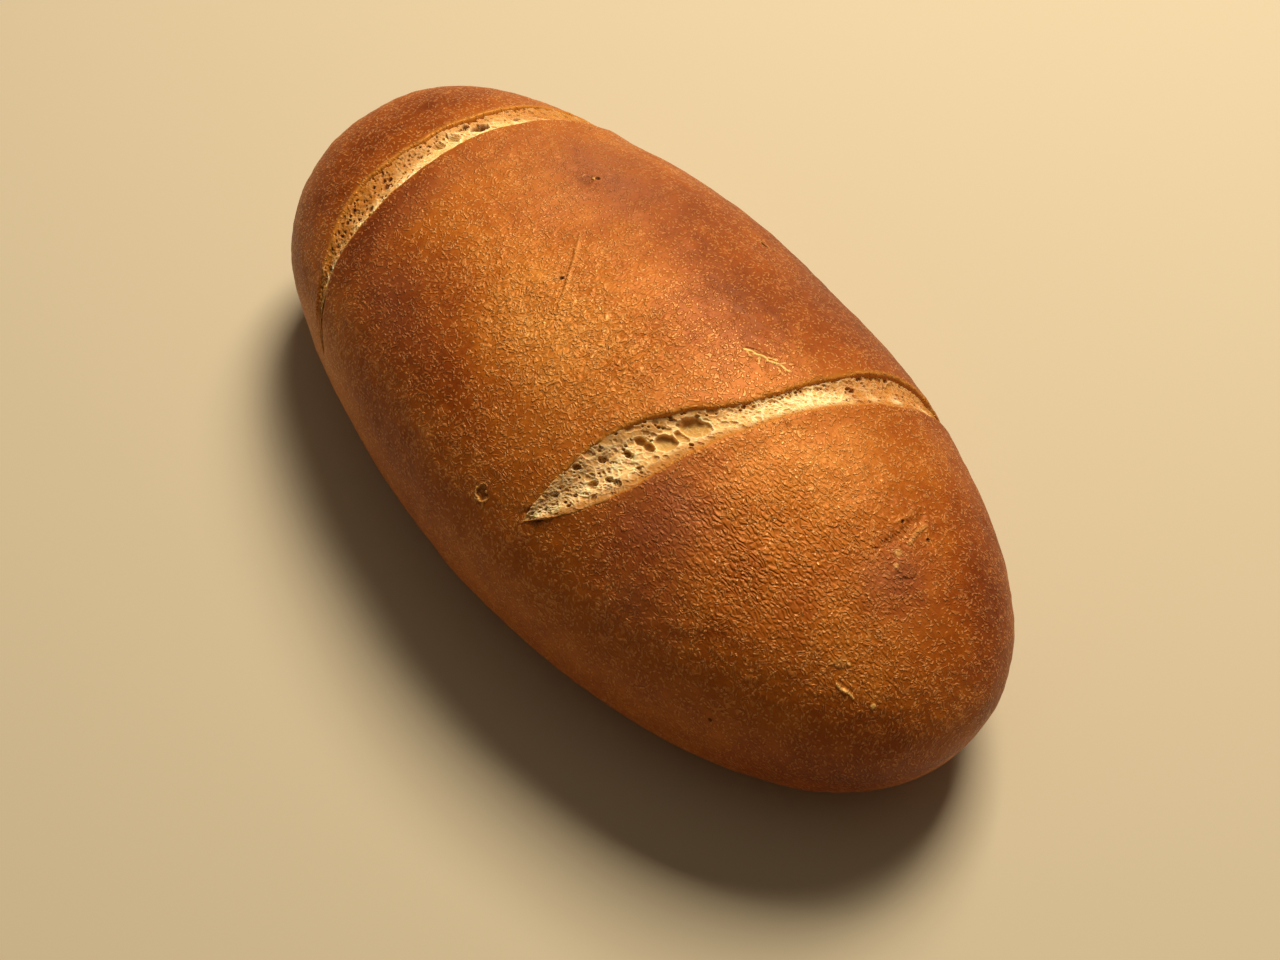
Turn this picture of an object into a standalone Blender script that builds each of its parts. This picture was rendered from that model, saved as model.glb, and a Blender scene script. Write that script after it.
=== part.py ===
"""A hearth-baked oval white loaf with two slanted slashes across its top.

Metres, +Z up. The loaf lies along X with its rounder end at +X, stands on its
flat base at z = 0, and the origin is under the middle of its box.
"""

import math

import bmesh
import bpy
import numpy as np

# Overall size of the loaf
LENGTH = 0.270
WIDTH = 0.1408
HEIGHT = 0.091

# Height at which the flanks are widest, as a share of the full height
WIDEST_LEVEL = 0.385 * HEIGHT

# Powers of the outline seen from above: the far end (-X) tapers early and then
# ends bluntly, the near end (+X) is close to an ellipse
FAR_END_LENGTHWISE = 1.53
FAR_END_ACROSS = 3.30
NEAR_END_LENGTHWISE = 2.02
NEAR_END_ACROSS = 2.20

# Powers of the cross-section above and below the widest level. The lower half would
# reach this much below the oven floor, which flattens it; it shrinks slower than the
# section towards the tips, by the power given
DOME_POWER = 2.11
UNDERSIDE_POWER = 2.3
UNDERSIDE_REACH = 1.25
UNDERSIDE_SHRINK = 0.8

# The whole loaf is bent sideways a little
BOW = 0.0013
BOW_REST = 0.33

# Slow unevenness of the hand-shaped dough: height, waves along and around, phase
SWELLS = (
    (0.0006, 3.0, 2.0, 0.4),
    (0.0005, 5.0, 3.0, 2.1),
    (0.0004, 8.0, 2.0, 4.0),
)
SWELL_END_ANGLE = math.radians(110.0)
SWELL_FADE_ANGLE = math.radians(40.0)

# Routes of the two slashes: angle around the loaf in degrees (0 is the crest,
# negative is the -Y flank), x of the slash's middle and its width
FAR_SLASH = (
    (-74.0, -0.0834, 0.0000),
    (-62.0, -0.0849, 0.0021),
    (-48.0, -0.0888, 0.0069),
    (-32.0, -0.0916, 0.0121),
    (-14.0, -0.0922, 0.0123),
    (4.0, -0.0910, 0.0110),
    (20.0, -0.0884, 0.0112),
    (38.0, -0.0848, 0.0126),
    (56.0, -0.0800, 0.0110),
    (72.0, -0.0740, 0.0060),
    (84.0, -0.0695, 0.0000),
)
NEAR_SLASH = (
    (-53.5, 0.0184, 0.0000),
    (-43.0, 0.0233, 0.0090),
    (-30.0, 0.0271, 0.0156),
    (-18.0, 0.0307, 0.0166),
    (-7.0, 0.0357, 0.0129),
    (2.0, 0.0414, 0.0087),
    (18.0, 0.0476, 0.0091),
    (36.0, 0.0537, 0.0116),
    (50.0, 0.0578, 0.0119),
    (66.0, 0.0632, 0.0080),
    (82.0, 0.0687, 0.0000),
)

# Across a slash the crumb drops under the far lip and climbs to the near lip
SLASH_DEPTH_SHARE = 0.30
SLASH_WALL_SHARE = 0.07
NEAR_LIP_STEP_SHARE = 0.12
FAR_LIP_RISE = 0.0013
NEAR_LIP_RISE = 0.0007
LIP_REACH = 0.009
FULL_SLASH_WIDTH = 0.010

# Rings and columns of the faceted body
RINGS_FAR_END = 9
RINGS_MIDDLE = 15
RINGS_NEAR_END = 12
SLASH_STATIONS = (0.0, 0.07, 0.35, 0.70, 0.94, 1.0)
NARROWEST_BAND = 0.005
LIP_TOLERANCE = 0.002
COLUMNS_DOME = 61
COLUMNS_FLANK = 8
COLUMNS_BASE = 9
STEEPEST_BASE_EDGE = math.radians(168.0)
SHARPEST_SMOOTH_EDGE = math.radians(35.0)

# Finishes: colour (linear), roughness
CRUST_COLOUR = (0.42, 0.155, 0.040, 1.0)
CRUST_ROUGHNESS = 0.42
CRUMB_COLOUR = (0.80, 0.53, 0.22, 1.0)
CRUMB_ROUGHNESS = 0.85


def clear_scene():
    for item in list(bpy.data.objects):
        bpy.data.objects.remove(item, do_unlink=True)


def finish(name, colour, roughness):
    material = bpy.data.materials.new(name)
    material.use_nodes = True
    shader = material.node_tree.nodes["Principled BSDF"]
    shader.inputs["Base Color"].default_value = colour
    shader.inputs["Roughness"].default_value = roughness
    shader.inputs["Metallic"].default_value = 0.0
    return material


def plan_outline(samples=4001):
    """Share of the half length, share of the full section, and length of the way
    along the outline, from the far end's tip to the near end's tip."""
    turn = np.linspace(0.0, math.pi, samples)
    cosine = np.cos(turn)
    on_far_end = cosine > 0.0
    lengthwise = np.where(on_far_end, FAR_END_LENGTHWISE, NEAR_END_LENGTHWISE)
    across = np.where(on_far_end, FAR_END_ACROSS, NEAR_END_ACROSS)
    share_along = -np.sign(cosine) * np.abs(cosine) ** (2.0 / lengthwise)
    section = np.clip(np.sin(turn), 0.0, 1.0) ** (2.0 / across)
    section[0] = 0.0
    section[-1] = 0.0
    steps = np.hypot(np.diff(share_along) * LENGTH / 2.0, np.diff(section) * WIDTH / 2.0)
    travelled = np.concatenate(([0.0], np.cumsum(steps)))
    return share_along, section, travelled


OUTLINE_ALONG, OUTLINE_SECTION, OUTLINE_TRAVEL = plan_outline()


def travel_at(x):
    """Length of the way along the outline at a place x."""
    return np.interp(x / (LENGTH / 2.0), OUTLINE_ALONG, OUTLINE_TRAVEL)


def smooth_skin(travel, angle):
    """Point of the unslashed loaf. Angle is in radians, 0 at the crest."""
    share = np.interp(travel, OUTLINE_TRAVEL, OUTLINE_ALONG)
    section = np.interp(travel, OUTLINE_TRAVEL, OUTLINE_SECTION)
    sine = np.sin(angle)
    cosine = np.cos(angle)
    above = cosine >= 0.0
    power = np.where(above, DOME_POWER, UNDERSIDE_POWER)
    out = np.sign(sine) * np.abs(sine) ** (2.0 / power) * section * WIDTH / 2.0
    fall = np.abs(cosine) ** (2.0 / power)
    dome = WIDEST_LEVEL + fall * (HEIGHT - WIDEST_LEVEL) * section
    belly = WIDEST_LEVEL * (1.0 - np.minimum(UNDERSIDE_REACH * fall * section**UNDERSIDE_SHRINK, 1.0))
    y = out + BOW * (share**2 - BOW_REST)
    z = np.where(above, dome, belly)
    return np.stack(np.broadcast_arrays(share * LENGTH / 2.0, y, z), axis=-1)


def skin_normal(travel, angle):
    """Outward direction of the unslashed loaf, from small steps along it."""
    step = 1e-4
    end = OUTLINE_TRAVEL[-1]
    behind = smooth_skin(np.clip(travel - step, 0.0, end), angle)
    ahead = smooth_skin(np.clip(travel + step, 0.0, end), angle)
    left = smooth_skin(travel, angle - step)
    right = smooth_skin(travel, angle + step)
    normal = np.cross(right - left, ahead - behind)
    length = np.linalg.norm(normal, axis=-1, keepdims=True)
    return -normal / np.maximum(length, 1e-15)


def route(points, angle_degrees):
    """Middle and width of a slash at an angle, by a smooth curve through its points."""
    angles, middles, widths = np.array(points).T
    middle_slopes = np.gradient(middles, angles)
    width_slopes = np.gradient(widths, angles)
    at = np.clip(angle_degrees, angles[0], angles[-1])
    piece = np.clip(np.searchsorted(angles, at) - 1, 0, len(angles) - 2)
    span = angles[piece + 1] - angles[piece]
    t = (at - angles[piece]) / span

    def blend(values, slopes):
        start = (2 * t**3 - 3 * t**2 + 1) * values[piece]
        start_pull = (t**3 - 2 * t**2 + t) * span * slopes[piece]
        end = (3 * t**2 - 2 * t**3) * values[piece + 1]
        end_pull = (t**3 - t**2) * span * slopes[piece + 1]
        return start + start_pull + end + end_pull

    return blend(middles, middle_slopes), np.maximum(blend(widths, width_slopes), 0.0)


def ease(value):
    value = np.clip(value, 0.0, 1.0)
    return value * value * (3.0 - 2.0 * value)


def slash_relief(points, x, angle_degrees):
    """Height of the surface over the smooth skin near one slash."""
    middle, width = route(points, angle_degrees)
    safe_width = np.maximum(width, 1e-6)
    place = (x - middle) / safe_width + 0.5
    place = np.where(np.abs(place) < LIP_TOLERANCE, 0.0, place)
    place = np.where(np.abs(place - 1.0) < LIP_TOLERANCE, 1.0, place)
    open_share = ease(width / FULL_SLASH_WIDTH)
    depth = SLASH_DEPTH_SHARE * width
    wall = np.clip(place / SLASH_WALL_SHARE, 0.0, 1.0)
    climb = ease((place - SLASH_WALL_SHARE) / (1.0 - SLASH_WALL_SHARE))
    bed = -depth * wall * (1.0 - (1.0 - NEAR_LIP_STEP_SHARE) * climb)
    before = np.clip(1.0 + place * safe_width / LIP_REACH, 0.0, 1.0)
    after = np.clip(1.0 - (place - 1.0) * safe_width / LIP_REACH, 0.0, 1.0)
    far_lip = FAR_LIP_RISE * open_share * before**2
    near_lip = NEAR_LIP_RISE * open_share * after**2
    return np.where(place <= 0.0, far_lip, np.where(place >= 1.0, near_lip, bed))


def swell(travel, angle):
    """Slow unevenness of the dough, fading out on the base."""
    share = travel / OUTLINE_TRAVEL[-1]
    from_crest = np.abs(np.mod(angle + math.pi, 2.0 * math.pi) - math.pi)
    total = 0.0
    for height, along, around, phase in SWELLS:
        total = total + height * np.sin(along * share * math.pi + phase) * np.cos(around * angle + phase)
    fade = (SWELL_END_ANGLE - from_crest) / SWELL_FADE_ANGLE
    return total * ease(fade) * np.sin(math.pi * share)


def loaf_point(travel, angle):
    """Point of the loaf's surface, slashes included."""
    skin = smooth_skin(travel, angle)
    degrees = np.degrees(angle)
    relief = swell(travel, angle)
    for points in (FAR_SLASH, NEAR_SLASH):
        relief = relief + slash_relief(points, skin[..., 0], degrees)
    return skin + skin_normal(travel, angle) * relief[..., None]


def base_edge(travel):
    """Angle at which the flank meets the flat base."""
    section = np.interp(travel, OUTLINE_TRAVEL, OUTLINE_SECTION)
    fall = 1.0 / (UNDERSIDE_REACH * np.maximum(section, 1e-3) ** UNDERSIDE_SHRINK)
    cosine = np.minimum(fall, 1.0) ** (UNDERSIDE_POWER / 2.0)
    return np.minimum(math.pi - np.arccos(cosine), STEEPEST_BASE_EDGE)


def ring_travels(angle):
    """Places of all rings at one angle, so that rings run along the slashes' lips."""
    degrees = math.degrees(angle)
    knots = []
    for points in (FAR_SLASH, NEAR_SLASH):
        middle, width = route(points, degrees)
        band = max(float(width), NARROWEST_BAND)
        stations = [float(middle) + (share - 0.5) * band for share in SLASH_STATIONS]
        knots.append([float(travel_at(x)) for x in stations])
    far, near = knots
    end = OUTLINE_TRAVEL[-1]
    far_end = np.linspace(0.0, far[0], RINGS_FAR_END, endpoint=False)[1:]
    middle_part = np.linspace(far[-1], near[0], RINGS_MIDDLE + 1)[1:-1]
    near_end = np.linspace(near[-1], end, RINGS_NEAR_END + 1)[1:-1]
    return np.concatenate((far_end, far, middle_part, near, near_end))


def loaf_lattice():
    """Travel and angle of every point, ring by ring. Columns run from the -Y side of
    the dome over the crest to +Y, down that flank, under the base and up again."""
    dome = np.linspace(-math.pi / 2.0, math.pi / 2.0, COLUMNS_DOME)
    travels = [ring_travels(angle) for angle in dome]
    angles = [np.full_like(travels[0], angle) for angle in dome]
    left = travels[0]
    right = travels[-1]
    flank_shares = np.arange(1, COLUMNS_FLANK + 1) / COLUMNS_FLANK
    for share in flank_shares:
        travels.append(right)
        angles.append(math.pi / 2.0 + share * (base_edge(right) - math.pi / 2.0))
    for share in np.arange(1, COLUMNS_BASE + 1) / (COLUMNS_BASE + 1):
        travel = right + (left - right) * share
        edge = base_edge(travel)
        travels.append(travel)
        angles.append(edge + 2.0 * (math.pi - edge) * share)
    for share in flank_shares[::-1]:
        travels.append(left)
        angles.append(1.5 * math.pi - share * (base_edge(left) - math.pi / 2.0))
    return np.stack(travels, axis=1), np.stack(angles, axis=1)


def slash_of_bands():
    """The slash that each band between two rings lies in, by the band's index."""
    bands = len(SLASH_STATIONS) - 1
    far_start = RINGS_FAR_END - 1
    near_start = far_start + bands + RINGS_MIDDLE
    of_far = {far_start + step: FAR_SLASH for step in range(bands)}
    of_near = {near_start + step: NEAR_SLASH for step in range(bands)}
    return {**of_far, **of_near}


def shows_crumb(points, angle):
    """True where a slash is open; points is None outside the slashes' bands."""
    return points is not None and points[0][0] < math.degrees(angle) < points[-1][0]


def centred(rings, tips):
    """Moves the points so that the box stands on z = 0 with its middle at the origin."""
    everything = np.concatenate((rings.reshape(-1, 3), tips))
    lowest = everything.min(axis=0)
    highest = everything.max(axis=0)
    shift = np.array([(lowest[0] + highest[0]) / 2.0, (lowest[1] + highest[1]) / 2.0, lowest[2]])
    return rings - shift, tips - shift


def fill_faces(mesh, rings, tips, angles):
    """Quads between the rings and a fan at each tip, all split into triangles."""
    loops = [[mesh.verts.new(point) for point in ring] for ring in rings]
    far_tip, near_tip = [mesh.verts.new(tip) for tip in tips]
    count = len(loops[0])
    slashes = slash_of_bands()
    for band, (loop, following) in enumerate(zip(loops, loops[1:])):
        for column in range(count):
            after = (column + 1) % count
            face = mesh.faces.new((loop[column], loop[after], following[after], following[column]))
            face.material_index = int(shows_crumb(slashes.get(band), angles[band, column]))
    for column in range(count):
        after = (column + 1) % count
        mesh.faces.new((far_tip, loops[0][after], loops[0][column]))
        mesh.faces.new((near_tip, loops[-1][column], loops[-1][after]))
    bmesh.ops.triangulate(mesh, faces=mesh.faces[:], quad_method="SHORT_EDGE")
    bmesh.ops.recalc_face_normals(mesh, faces=mesh.faces[:])


def build_loaf():
    travels, angles = loaf_lattice()
    tip_travels = np.array([0.0, OUTLINE_TRAVEL[-1]])
    rings, tips = centred(loaf_point(travels, angles), smooth_skin(tip_travels, np.zeros(2)))
    mesh = bmesh.new()
    fill_faces(mesh, rings, tips, angles)
    data = bpy.data.meshes.new("loaf")
    mesh.to_mesh(data)
    mesh.free()
    data.materials.append(finish("baked_crust", CRUST_COLOUR, CRUST_ROUGHNESS))
    data.materials.append(finish("open_crumb", CRUMB_COLOUR, CRUMB_ROUGHNESS))
    data.shade_smooth()
    data.set_sharp_from_angle(angle=SHARPEST_SMOOTH_EDGE)
    loaf = bpy.data.objects.new("loaf", data)
    bpy.context.scene.collection.objects.link(loaf)


clear_scene()
build_loaf()
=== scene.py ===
import math
from types import SimpleNamespace

import bpy
import numpy as np
from mathutils import Matrix, Vector


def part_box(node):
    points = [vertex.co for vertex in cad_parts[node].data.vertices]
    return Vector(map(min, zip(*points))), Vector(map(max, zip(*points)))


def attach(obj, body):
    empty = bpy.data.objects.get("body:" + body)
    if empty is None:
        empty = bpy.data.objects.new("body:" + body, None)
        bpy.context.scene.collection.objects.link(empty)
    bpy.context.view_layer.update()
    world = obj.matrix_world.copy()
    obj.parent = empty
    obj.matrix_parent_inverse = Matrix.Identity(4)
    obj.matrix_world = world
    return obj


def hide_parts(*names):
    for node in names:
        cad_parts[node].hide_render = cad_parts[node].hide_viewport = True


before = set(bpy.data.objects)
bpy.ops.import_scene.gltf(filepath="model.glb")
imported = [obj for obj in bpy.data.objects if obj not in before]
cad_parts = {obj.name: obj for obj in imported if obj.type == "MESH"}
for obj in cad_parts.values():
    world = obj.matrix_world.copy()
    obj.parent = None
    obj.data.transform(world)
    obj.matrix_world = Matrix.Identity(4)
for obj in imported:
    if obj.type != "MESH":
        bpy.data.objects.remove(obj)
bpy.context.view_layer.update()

# The loaf's crust: wheat dough shaped by hand into an oval, slashed twice and baked on a
# hot oven floor. One closed skin, thin and glazed by the steam of the oven. The dough's
# form follows the same outline and cross-section rules as the solid it stands for.

MM = 0.001
low_corner, high_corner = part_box("loaf")
LENGTH = high_corner.x - low_corner.x
WIDTH = 140.8 * MM
HEIGHT = 91.0 * MM
WIDEST_LEVEL = 0.385 * HEIGHT
FAR_END_POWERS = (1.53, 3.30)
NEAR_END_POWERS = (2.02, 2.20)
DOME_POWER = 2.11
UNDERSIDE_POWER = 2.3
UNDERSIDE_REACH = 1.25
UNDERSIDE_SHRINK = 0.8
BOW = 1.3 * MM
BOW_REST = 0.33
QUARTER = math.pi / 2.0

# The dough's own middle line lies this far from the middle of its box
Y_SHIFT = 0.43 * MM

# Slow unevenness of the dough: height, half waves along, waves around, phase
SWELLS = (
    (0.6 * MM, 3.0, 2.0, 0.4),
    (0.5 * MM, 5.0, 3.0, 2.1),
    (0.4 * MM, 8.0, 2.0, 4.0),
)
SWELL_END_ANGLE = math.radians(110.0)
SWELL_FADE_ANGLE = math.radians(40.0)


def plan_outline(samples=6001):
    """Share along, share of the section and way travelled, from tip to tip."""
    turn = np.linspace(0.0, math.pi, samples)
    cosine = np.cos(turn)
    lengthwise = np.where(cosine > 0.0, FAR_END_POWERS[0], NEAR_END_POWERS[0])
    across = np.where(cosine > 0.0, FAR_END_POWERS[1], NEAR_END_POWERS[1])
    along = -np.sign(cosine) * np.abs(cosine) ** (2.0 / lengthwise)
    section = np.clip(np.sin(turn), 0.0, 1.0) ** (2.0 / across)
    section[0] = 0.0
    section[-1] = 0.0
    steps = np.hypot(np.diff(along) * LENGTH / 2.0, np.diff(section) * WIDTH / 2.0)
    return along, section, np.concatenate(([0.0], np.cumsum(steps)))


OUTLINE_ALONG, OUTLINE_SECTION, OUTLINE_TRAVEL = plan_outline()
FULL_TRAVEL = OUTLINE_TRAVEL[-1]


def travel_at(x):
    """Way along the outline, from the far tip, to the place at x."""
    return np.interp(x / (LENGTH / 2.0), OUTLINE_ALONG, OUTLINE_TRAVEL)


def smooth_skin(travel, angle):
    """Point of the unslashed loaf; angle 0 is the crest, negative the -Y flank."""
    share = np.interp(travel, OUTLINE_TRAVEL, OUTLINE_ALONG)
    section = np.interp(travel, OUTLINE_TRAVEL, OUTLINE_SECTION)
    sine = np.sin(angle)
    cosine = np.cos(angle)
    power = np.where(cosine >= 0.0, DOME_POWER, UNDERSIDE_POWER)
    out = np.sign(sine) * np.abs(sine) ** (2.0 / power) * section * WIDTH / 2.0
    fall = np.abs(cosine) ** (2.0 / power)
    dome = WIDEST_LEVEL + fall * (HEIGHT - WIDEST_LEVEL) * section
    sunk = np.minimum(UNDERSIDE_REACH * fall * section**UNDERSIDE_SHRINK, 1.0)
    belly = WIDEST_LEVEL * (1.0 - sunk)
    y = out + BOW * (share**2 - BOW_REST)
    z = np.where(cosine >= 0.0, dome, belly)
    return np.stack(np.broadcast_arrays(share * LENGTH / 2.0, y, z), axis=-1)


def unit(vectors):
    return vectors / np.maximum(np.linalg.norm(vectors, axis=-1, keepdims=True), 1e-15)


def outward_at(travel, angle):
    """Direction straight out of the smooth skin."""
    step = 1e-4
    ahead = smooth_skin(np.minimum(travel + step, FULL_TRAVEL), angle)
    behind = smooth_skin(np.maximum(travel - step, 0.0), angle)
    left = smooth_skin(travel, angle - step)
    right = smooth_skin(travel, angle + step)
    return unit(np.cross(ahead - behind, right - left))


def ease(value):
    value = np.clip(value, 0.0, 1.0)
    return value * value * (3.0 - 2.0 * value)


def from_crest(angle):
    """Angle from the crest, between -pi and pi."""
    return np.mod(angle + math.pi, 2.0 * math.pi) - math.pi


# Large odd numbers that mix the corners and the seed of a random field
NOISE_KEYS = (73856093, 19349663, 83492791)
NOISE_SEED_KEY = 2654435761
NOISE_STEP = (1103515245, 12345)
NOISE_GAIN = 1.6


def lattice_noise(points, cell, seed):
    """Smooth random field from about -1 to 1 that turns over in one cell."""
    at = points / cell
    corner = np.floor(at).astype(np.int64)
    part = at - corner
    fade = part**3 * (part * (part * 6.0 - 15.0) + 10.0)
    total = np.zeros(at.shape[:-1])
    for step in np.ndindex(2, 2, 2):
        key = corner + np.array(step)
        mixed = np.bitwise_xor.reduce(key * np.array(NOISE_KEYS), axis=-1) ^ (seed * NOISE_SEED_KEY)
        dot = np.zeros(at.shape[:-1])
        for axis in range(3):
            mixed = (mixed * NOISE_STEP[0] + NOISE_STEP[1]) & 0x7FFFFFFF
            mixed = mixed ^ (mixed >> 13)
            slope = (mixed & 0xFFFF) / 32767.5 - 1.0
            dot += slope * (part[..., axis] - step[axis])
        total += np.prod(np.where(step, fade, 1.0 - fade), axis=-1) * dot
    return total * NOISE_GAIN


def patchy(x, angle, places, start):
    """A field from places on the dome: x in mm, angle in degrees, both reaches, strength."""
    degrees = np.degrees(from_crest(angle))
    total = np.full(x.shape, start)
    for place, at, reach_x, reach_angle, strength in places:
        along = (x / MM - place) / reach_x
        across = (degrees - at) / reach_angle
        total = total + strength * np.exp(-(along**2) - across**2)
    return total


def swell(travel, angle):
    """Height of the slow unevenness; it fades out at the tips and below the flanks."""
    share = travel / FULL_TRAVEL
    around = from_crest(angle)
    total = 0.0
    for height, along, waves, phase in SWELLS:
        total = total + height * np.sin(along * share * math.pi + phase) * np.cos(waves * around + phase)
    return total * ease((SWELL_END_ANGLE - np.abs(around)) / SWELL_FADE_ANGLE) * np.sin(math.pi * share)


# Routes of the slashes: angle in degrees, x of the middle in mm, width in mm
FAR_SLASH = (
    (-88.0, -72.0, 0.0), (-80.0, -76.5, 0.9), (-70.0, -81.6, 1.5), (-61.0, -85.0, 3.0),
    (-48.0, -88.8, 6.9), (-32.0, -91.6, 12.1), (-14.0, -92.2, 12.3), (4.0, -91.0, 11.0),
    (20.0, -88.4, 11.2), (38.0, -84.8, 12.6), (56.0, -80.0, 11.0), (72.0, -74.0, 6.0), (84.0, -69.5, 0.0),
)
NEAR_SLASH = (
    (-53.5, 18.4, 0.0), (-43.0, 23.3, 9.0), (-30.0, 27.1, 15.6), (-18.0, 30.7, 16.6), (-7.0, 35.7, 12.9),
    (2.0, 41.4, 8.7), (18.0, 47.6, 9.1), (36.0, 53.7, 11.6), (50.0, 57.8, 11.9), (66.0, 63.4, 8.4),
    (78.0, 69.0, 4.2), (85.0, 74.0, 1.8), (89.5, 78.0, 0.0),
)
FULL_SLASH_WIDTH = 10.0 * MM
NARROWEST_BAND = 5.0 * MM
FAR_LIP_RISE = 0.9 * MM
NEAR_LIP_RISE = 0.45 * MM
LIP_REACH = 9.0 * MM

# The crust rolls over at each lip. Way along and height of the roll in mm, from the
# crust down into the slash. The heights of the far roll are those of a full ear.
FAR_ROLL = (
    (-1.5, 0.90), (-1.0, 0.88), (-0.55, 0.76), (-0.2, 0.52), (0.1, 0.20), (0.32, -0.15), (0.48, -0.55),
    (0.58, -1.0), (0.62, -1.6), (0.64, -3.2),
)
NEAR_ROLL = (
    (0.3, 0.45), (0.0, 0.42), (-0.3, 0.34), (-0.6, 0.18), (-0.85, -0.04), (-1.05, -0.35), (-1.2, -0.8),
    (-1.25, -1.5), (-1.3, -2.4), (-1.3, -3.6),
)
BED_SINK = 5.0 * MM
BED_ROWS = 3

# How much of a full ear the far lip of each slash lifts: both lips stayed low
FAR_SLASH_LIP = 0.12
NEAR_SLASH_LIP = 0.34

# Where a slash is closed, the rows of its lips lie this far apart, in mm
CLOSED_SPACING = 0.22

# Share of a roll over which its crust turns into torn crumb, with painted light that lightens the
# roll's face turned from the light, and how much of that the far lip shows if it hardly lifts
FAR_TORN_AND_LIT_SHARE = 0.55
NEAR_TORN_AND_LIT_SHARE = 0.5
LOW_LIP_TORN_AND_LIT = 0.78

# How far the torn lips stray from a clean line: cell and reach in mm
LIP_WANDER = ((8.0, 0.40), (2.6, 0.26))


def route(points, angle):
    """Middle and width of a slash at an angle, by a smooth curve through its points."""
    angles, middles, widths = np.array(points).T
    at = np.clip(np.degrees(angle), angles[0], angles[-1])
    piece = np.clip(np.searchsorted(angles, at) - 1, 0, len(angles) - 2)
    span = angles[piece + 1] - angles[piece]
    t = (at - angles[piece]) / span
    result = []
    for values in (middles, widths):
        slopes = np.gradient(values, angles)
        start = (2 * t**3 - 3 * t**2 + 1) * values[piece]
        start += (t**3 - 2 * t**2 + t) * span * slopes[piece]
        end = (3 * t**2 - 2 * t**3) * values[piece + 1]
        end += (t**3 - t**2) * span * slopes[piece + 1]
        result.append((start + end) * MM)
    return result[0], np.maximum(result[1], 0.0)


def lip_wander(angle, x, seed):
    """How far a torn lip strays from its clean line."""
    skin = smooth_skin(travel_at(x), angle)
    return sum(height * MM * lattice_noise(skin, cell * MM, seed) for cell, height in LIP_WANDER)


def slash_edges(points, angle, seed):
    """x of the far and the near lip, and how open the slash is, from 0 to 1."""
    middle, width = route(points, angle)
    opening = ease(width / FULL_SLASH_WIDTH)
    half = np.maximum(width, NARROWEST_BAND) / 2.0
    far_edge = middle - half
    near_edge = middle + half
    far_edge = far_edge + opening * lip_wander(angle, far_edge, seed)
    near_edge = near_edge + opening * lip_wander(angle, near_edge, seed + 1)
    return far_edge, near_edge, opening


# Rows of the crust before, between and after the slashes, and columns around it
CRUST_ROWS = (60, 102, 112)
DOME_COLUMNS = 205
FLANK_COLUMNS = 30
BASE_COLUMNS = 24
STEEPEST_BASE_EDGE = math.radians(168.0)
FAR_SEED = 11
NEAR_SEED = 21


def base_edge(travel):
    """Angle at which the belly of the loaf meets the oven floor."""
    section = np.interp(travel, OUTLINE_TRAVEL, OUTLINE_SECTION)
    fall = 1.0 / (UNDERSIDE_REACH * np.maximum(section, 1e-3) ** UNDERSIDE_SHRINK)
    cosine = np.minimum(fall, 1.0) ** (UNDERSIDE_POWER / 2.0)
    return np.minimum(math.pi - np.arccos(cosine), STEEPEST_BASE_EDGE)


def band_rows(points, angles, seed, lip):
    """Rows across one slash: travel, height and share of torn crust with painted light at each dome column.
    """
    far_edge, near_edge, opening = slash_edges(points, angles, seed)
    last_roll = len(FAR_ROLL) - 1
    bared = LOW_LIP_TORN_AND_LIT + (1.0 - LOW_LIP_TORN_AND_LIT) * lip
    rows = []
    for number, (offset, height) in enumerate(FAR_ROLL):
        torn_and_lit = ease(number / last_roll / FAR_TORN_AND_LIT_SHARE) * opening * bared
        raised = height * lip if height > 0.0 else height
        shut_offset = (number - last_roll) * CLOSED_SPACING
        offsets = offset * opening + shut_offset * (1.0 - opening)
        rows.append((travel_at(far_edge) + offsets * MM, raised * MM * opening, torn_and_lit))
    for step in range(1, BED_ROWS + 1):
        share = step / (BED_ROWS + 1)
        x = far_edge + (near_edge - far_edge) * share
        rows.append((travel_at(x), -BED_SINK * opening, opening))
    for number, (offset, height) in enumerate(reversed(NEAR_ROLL)):
        torn_and_lit = ease((last_roll - number) / last_roll / NEAR_TORN_AND_LIT_SHARE) * opening
        offsets = offset * opening + number * CLOSED_SPACING * (1.0 - opening)
        rows.append((travel_at(near_edge) + offsets * MM, height * MM * opening, torn_and_lit))
    return rows


def stretch_rows(start, end, count):
    shares = (np.arange(1, count + 1) / (count + 1))[:, None]
    return start + (end - start) * shares


def dome_rows(dome):
    """Travel, lip height and share of torn crust with painted light of the points on the dome, row by row."""
    far_band = band_rows(FAR_SLASH, dome, FAR_SEED, FAR_SLASH_LIP)
    near_band = band_rows(NEAR_SLASH, dome, NEAR_SEED, NEAR_SLASH_LIP)
    far_travel = np.array([row[0] for row in far_band])
    near_travel = np.array([row[0] for row in near_band])
    travel = np.concatenate((
        stretch_rows(np.zeros_like(dome), far_travel[0], CRUST_ROWS[0]),
        far_travel,
        stretch_rows(far_travel[-1], near_travel[0], CRUST_ROWS[1]),
        near_travel,
        stretch_rows(near_travel[-1], np.full_like(dome, FULL_TRAVEL), CRUST_ROWS[2]),
    ))
    height = np.zeros_like(travel)
    torn_and_lit = np.zeros_like(travel)
    near_start = CRUST_ROWS[0] + len(far_band) + CRUST_ROWS[1]
    for start, band, points, lip in (
        (CRUST_ROWS[0], far_band, FAR_SLASH, FAR_SLASH_LIP),
        (near_start, near_band, NEAR_SLASH, NEAR_SLASH_LIP),
    ):
        end = start + len(band)
        opening = ease(route(points, dome)[1] / FULL_SLASH_WIDTH)
        height[start:end] = [row[1] for row in band]
        torn_and_lit[start:end] = [row[2] for row in band]
        before = np.clip(1.0 - (band[0][0] - travel[:start]) / LIP_REACH, 0.0, 1.0)
        after = np.clip(1.0 - (travel[end:] - band[-1][0]) / LIP_REACH, 0.0, 1.0)
        height[:start] += FAR_LIP_RISE * lip * opening * before**2
        height[end:] += NEAR_LIP_RISE * opening * after**2
    return travel, height, torn_and_lit


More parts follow.
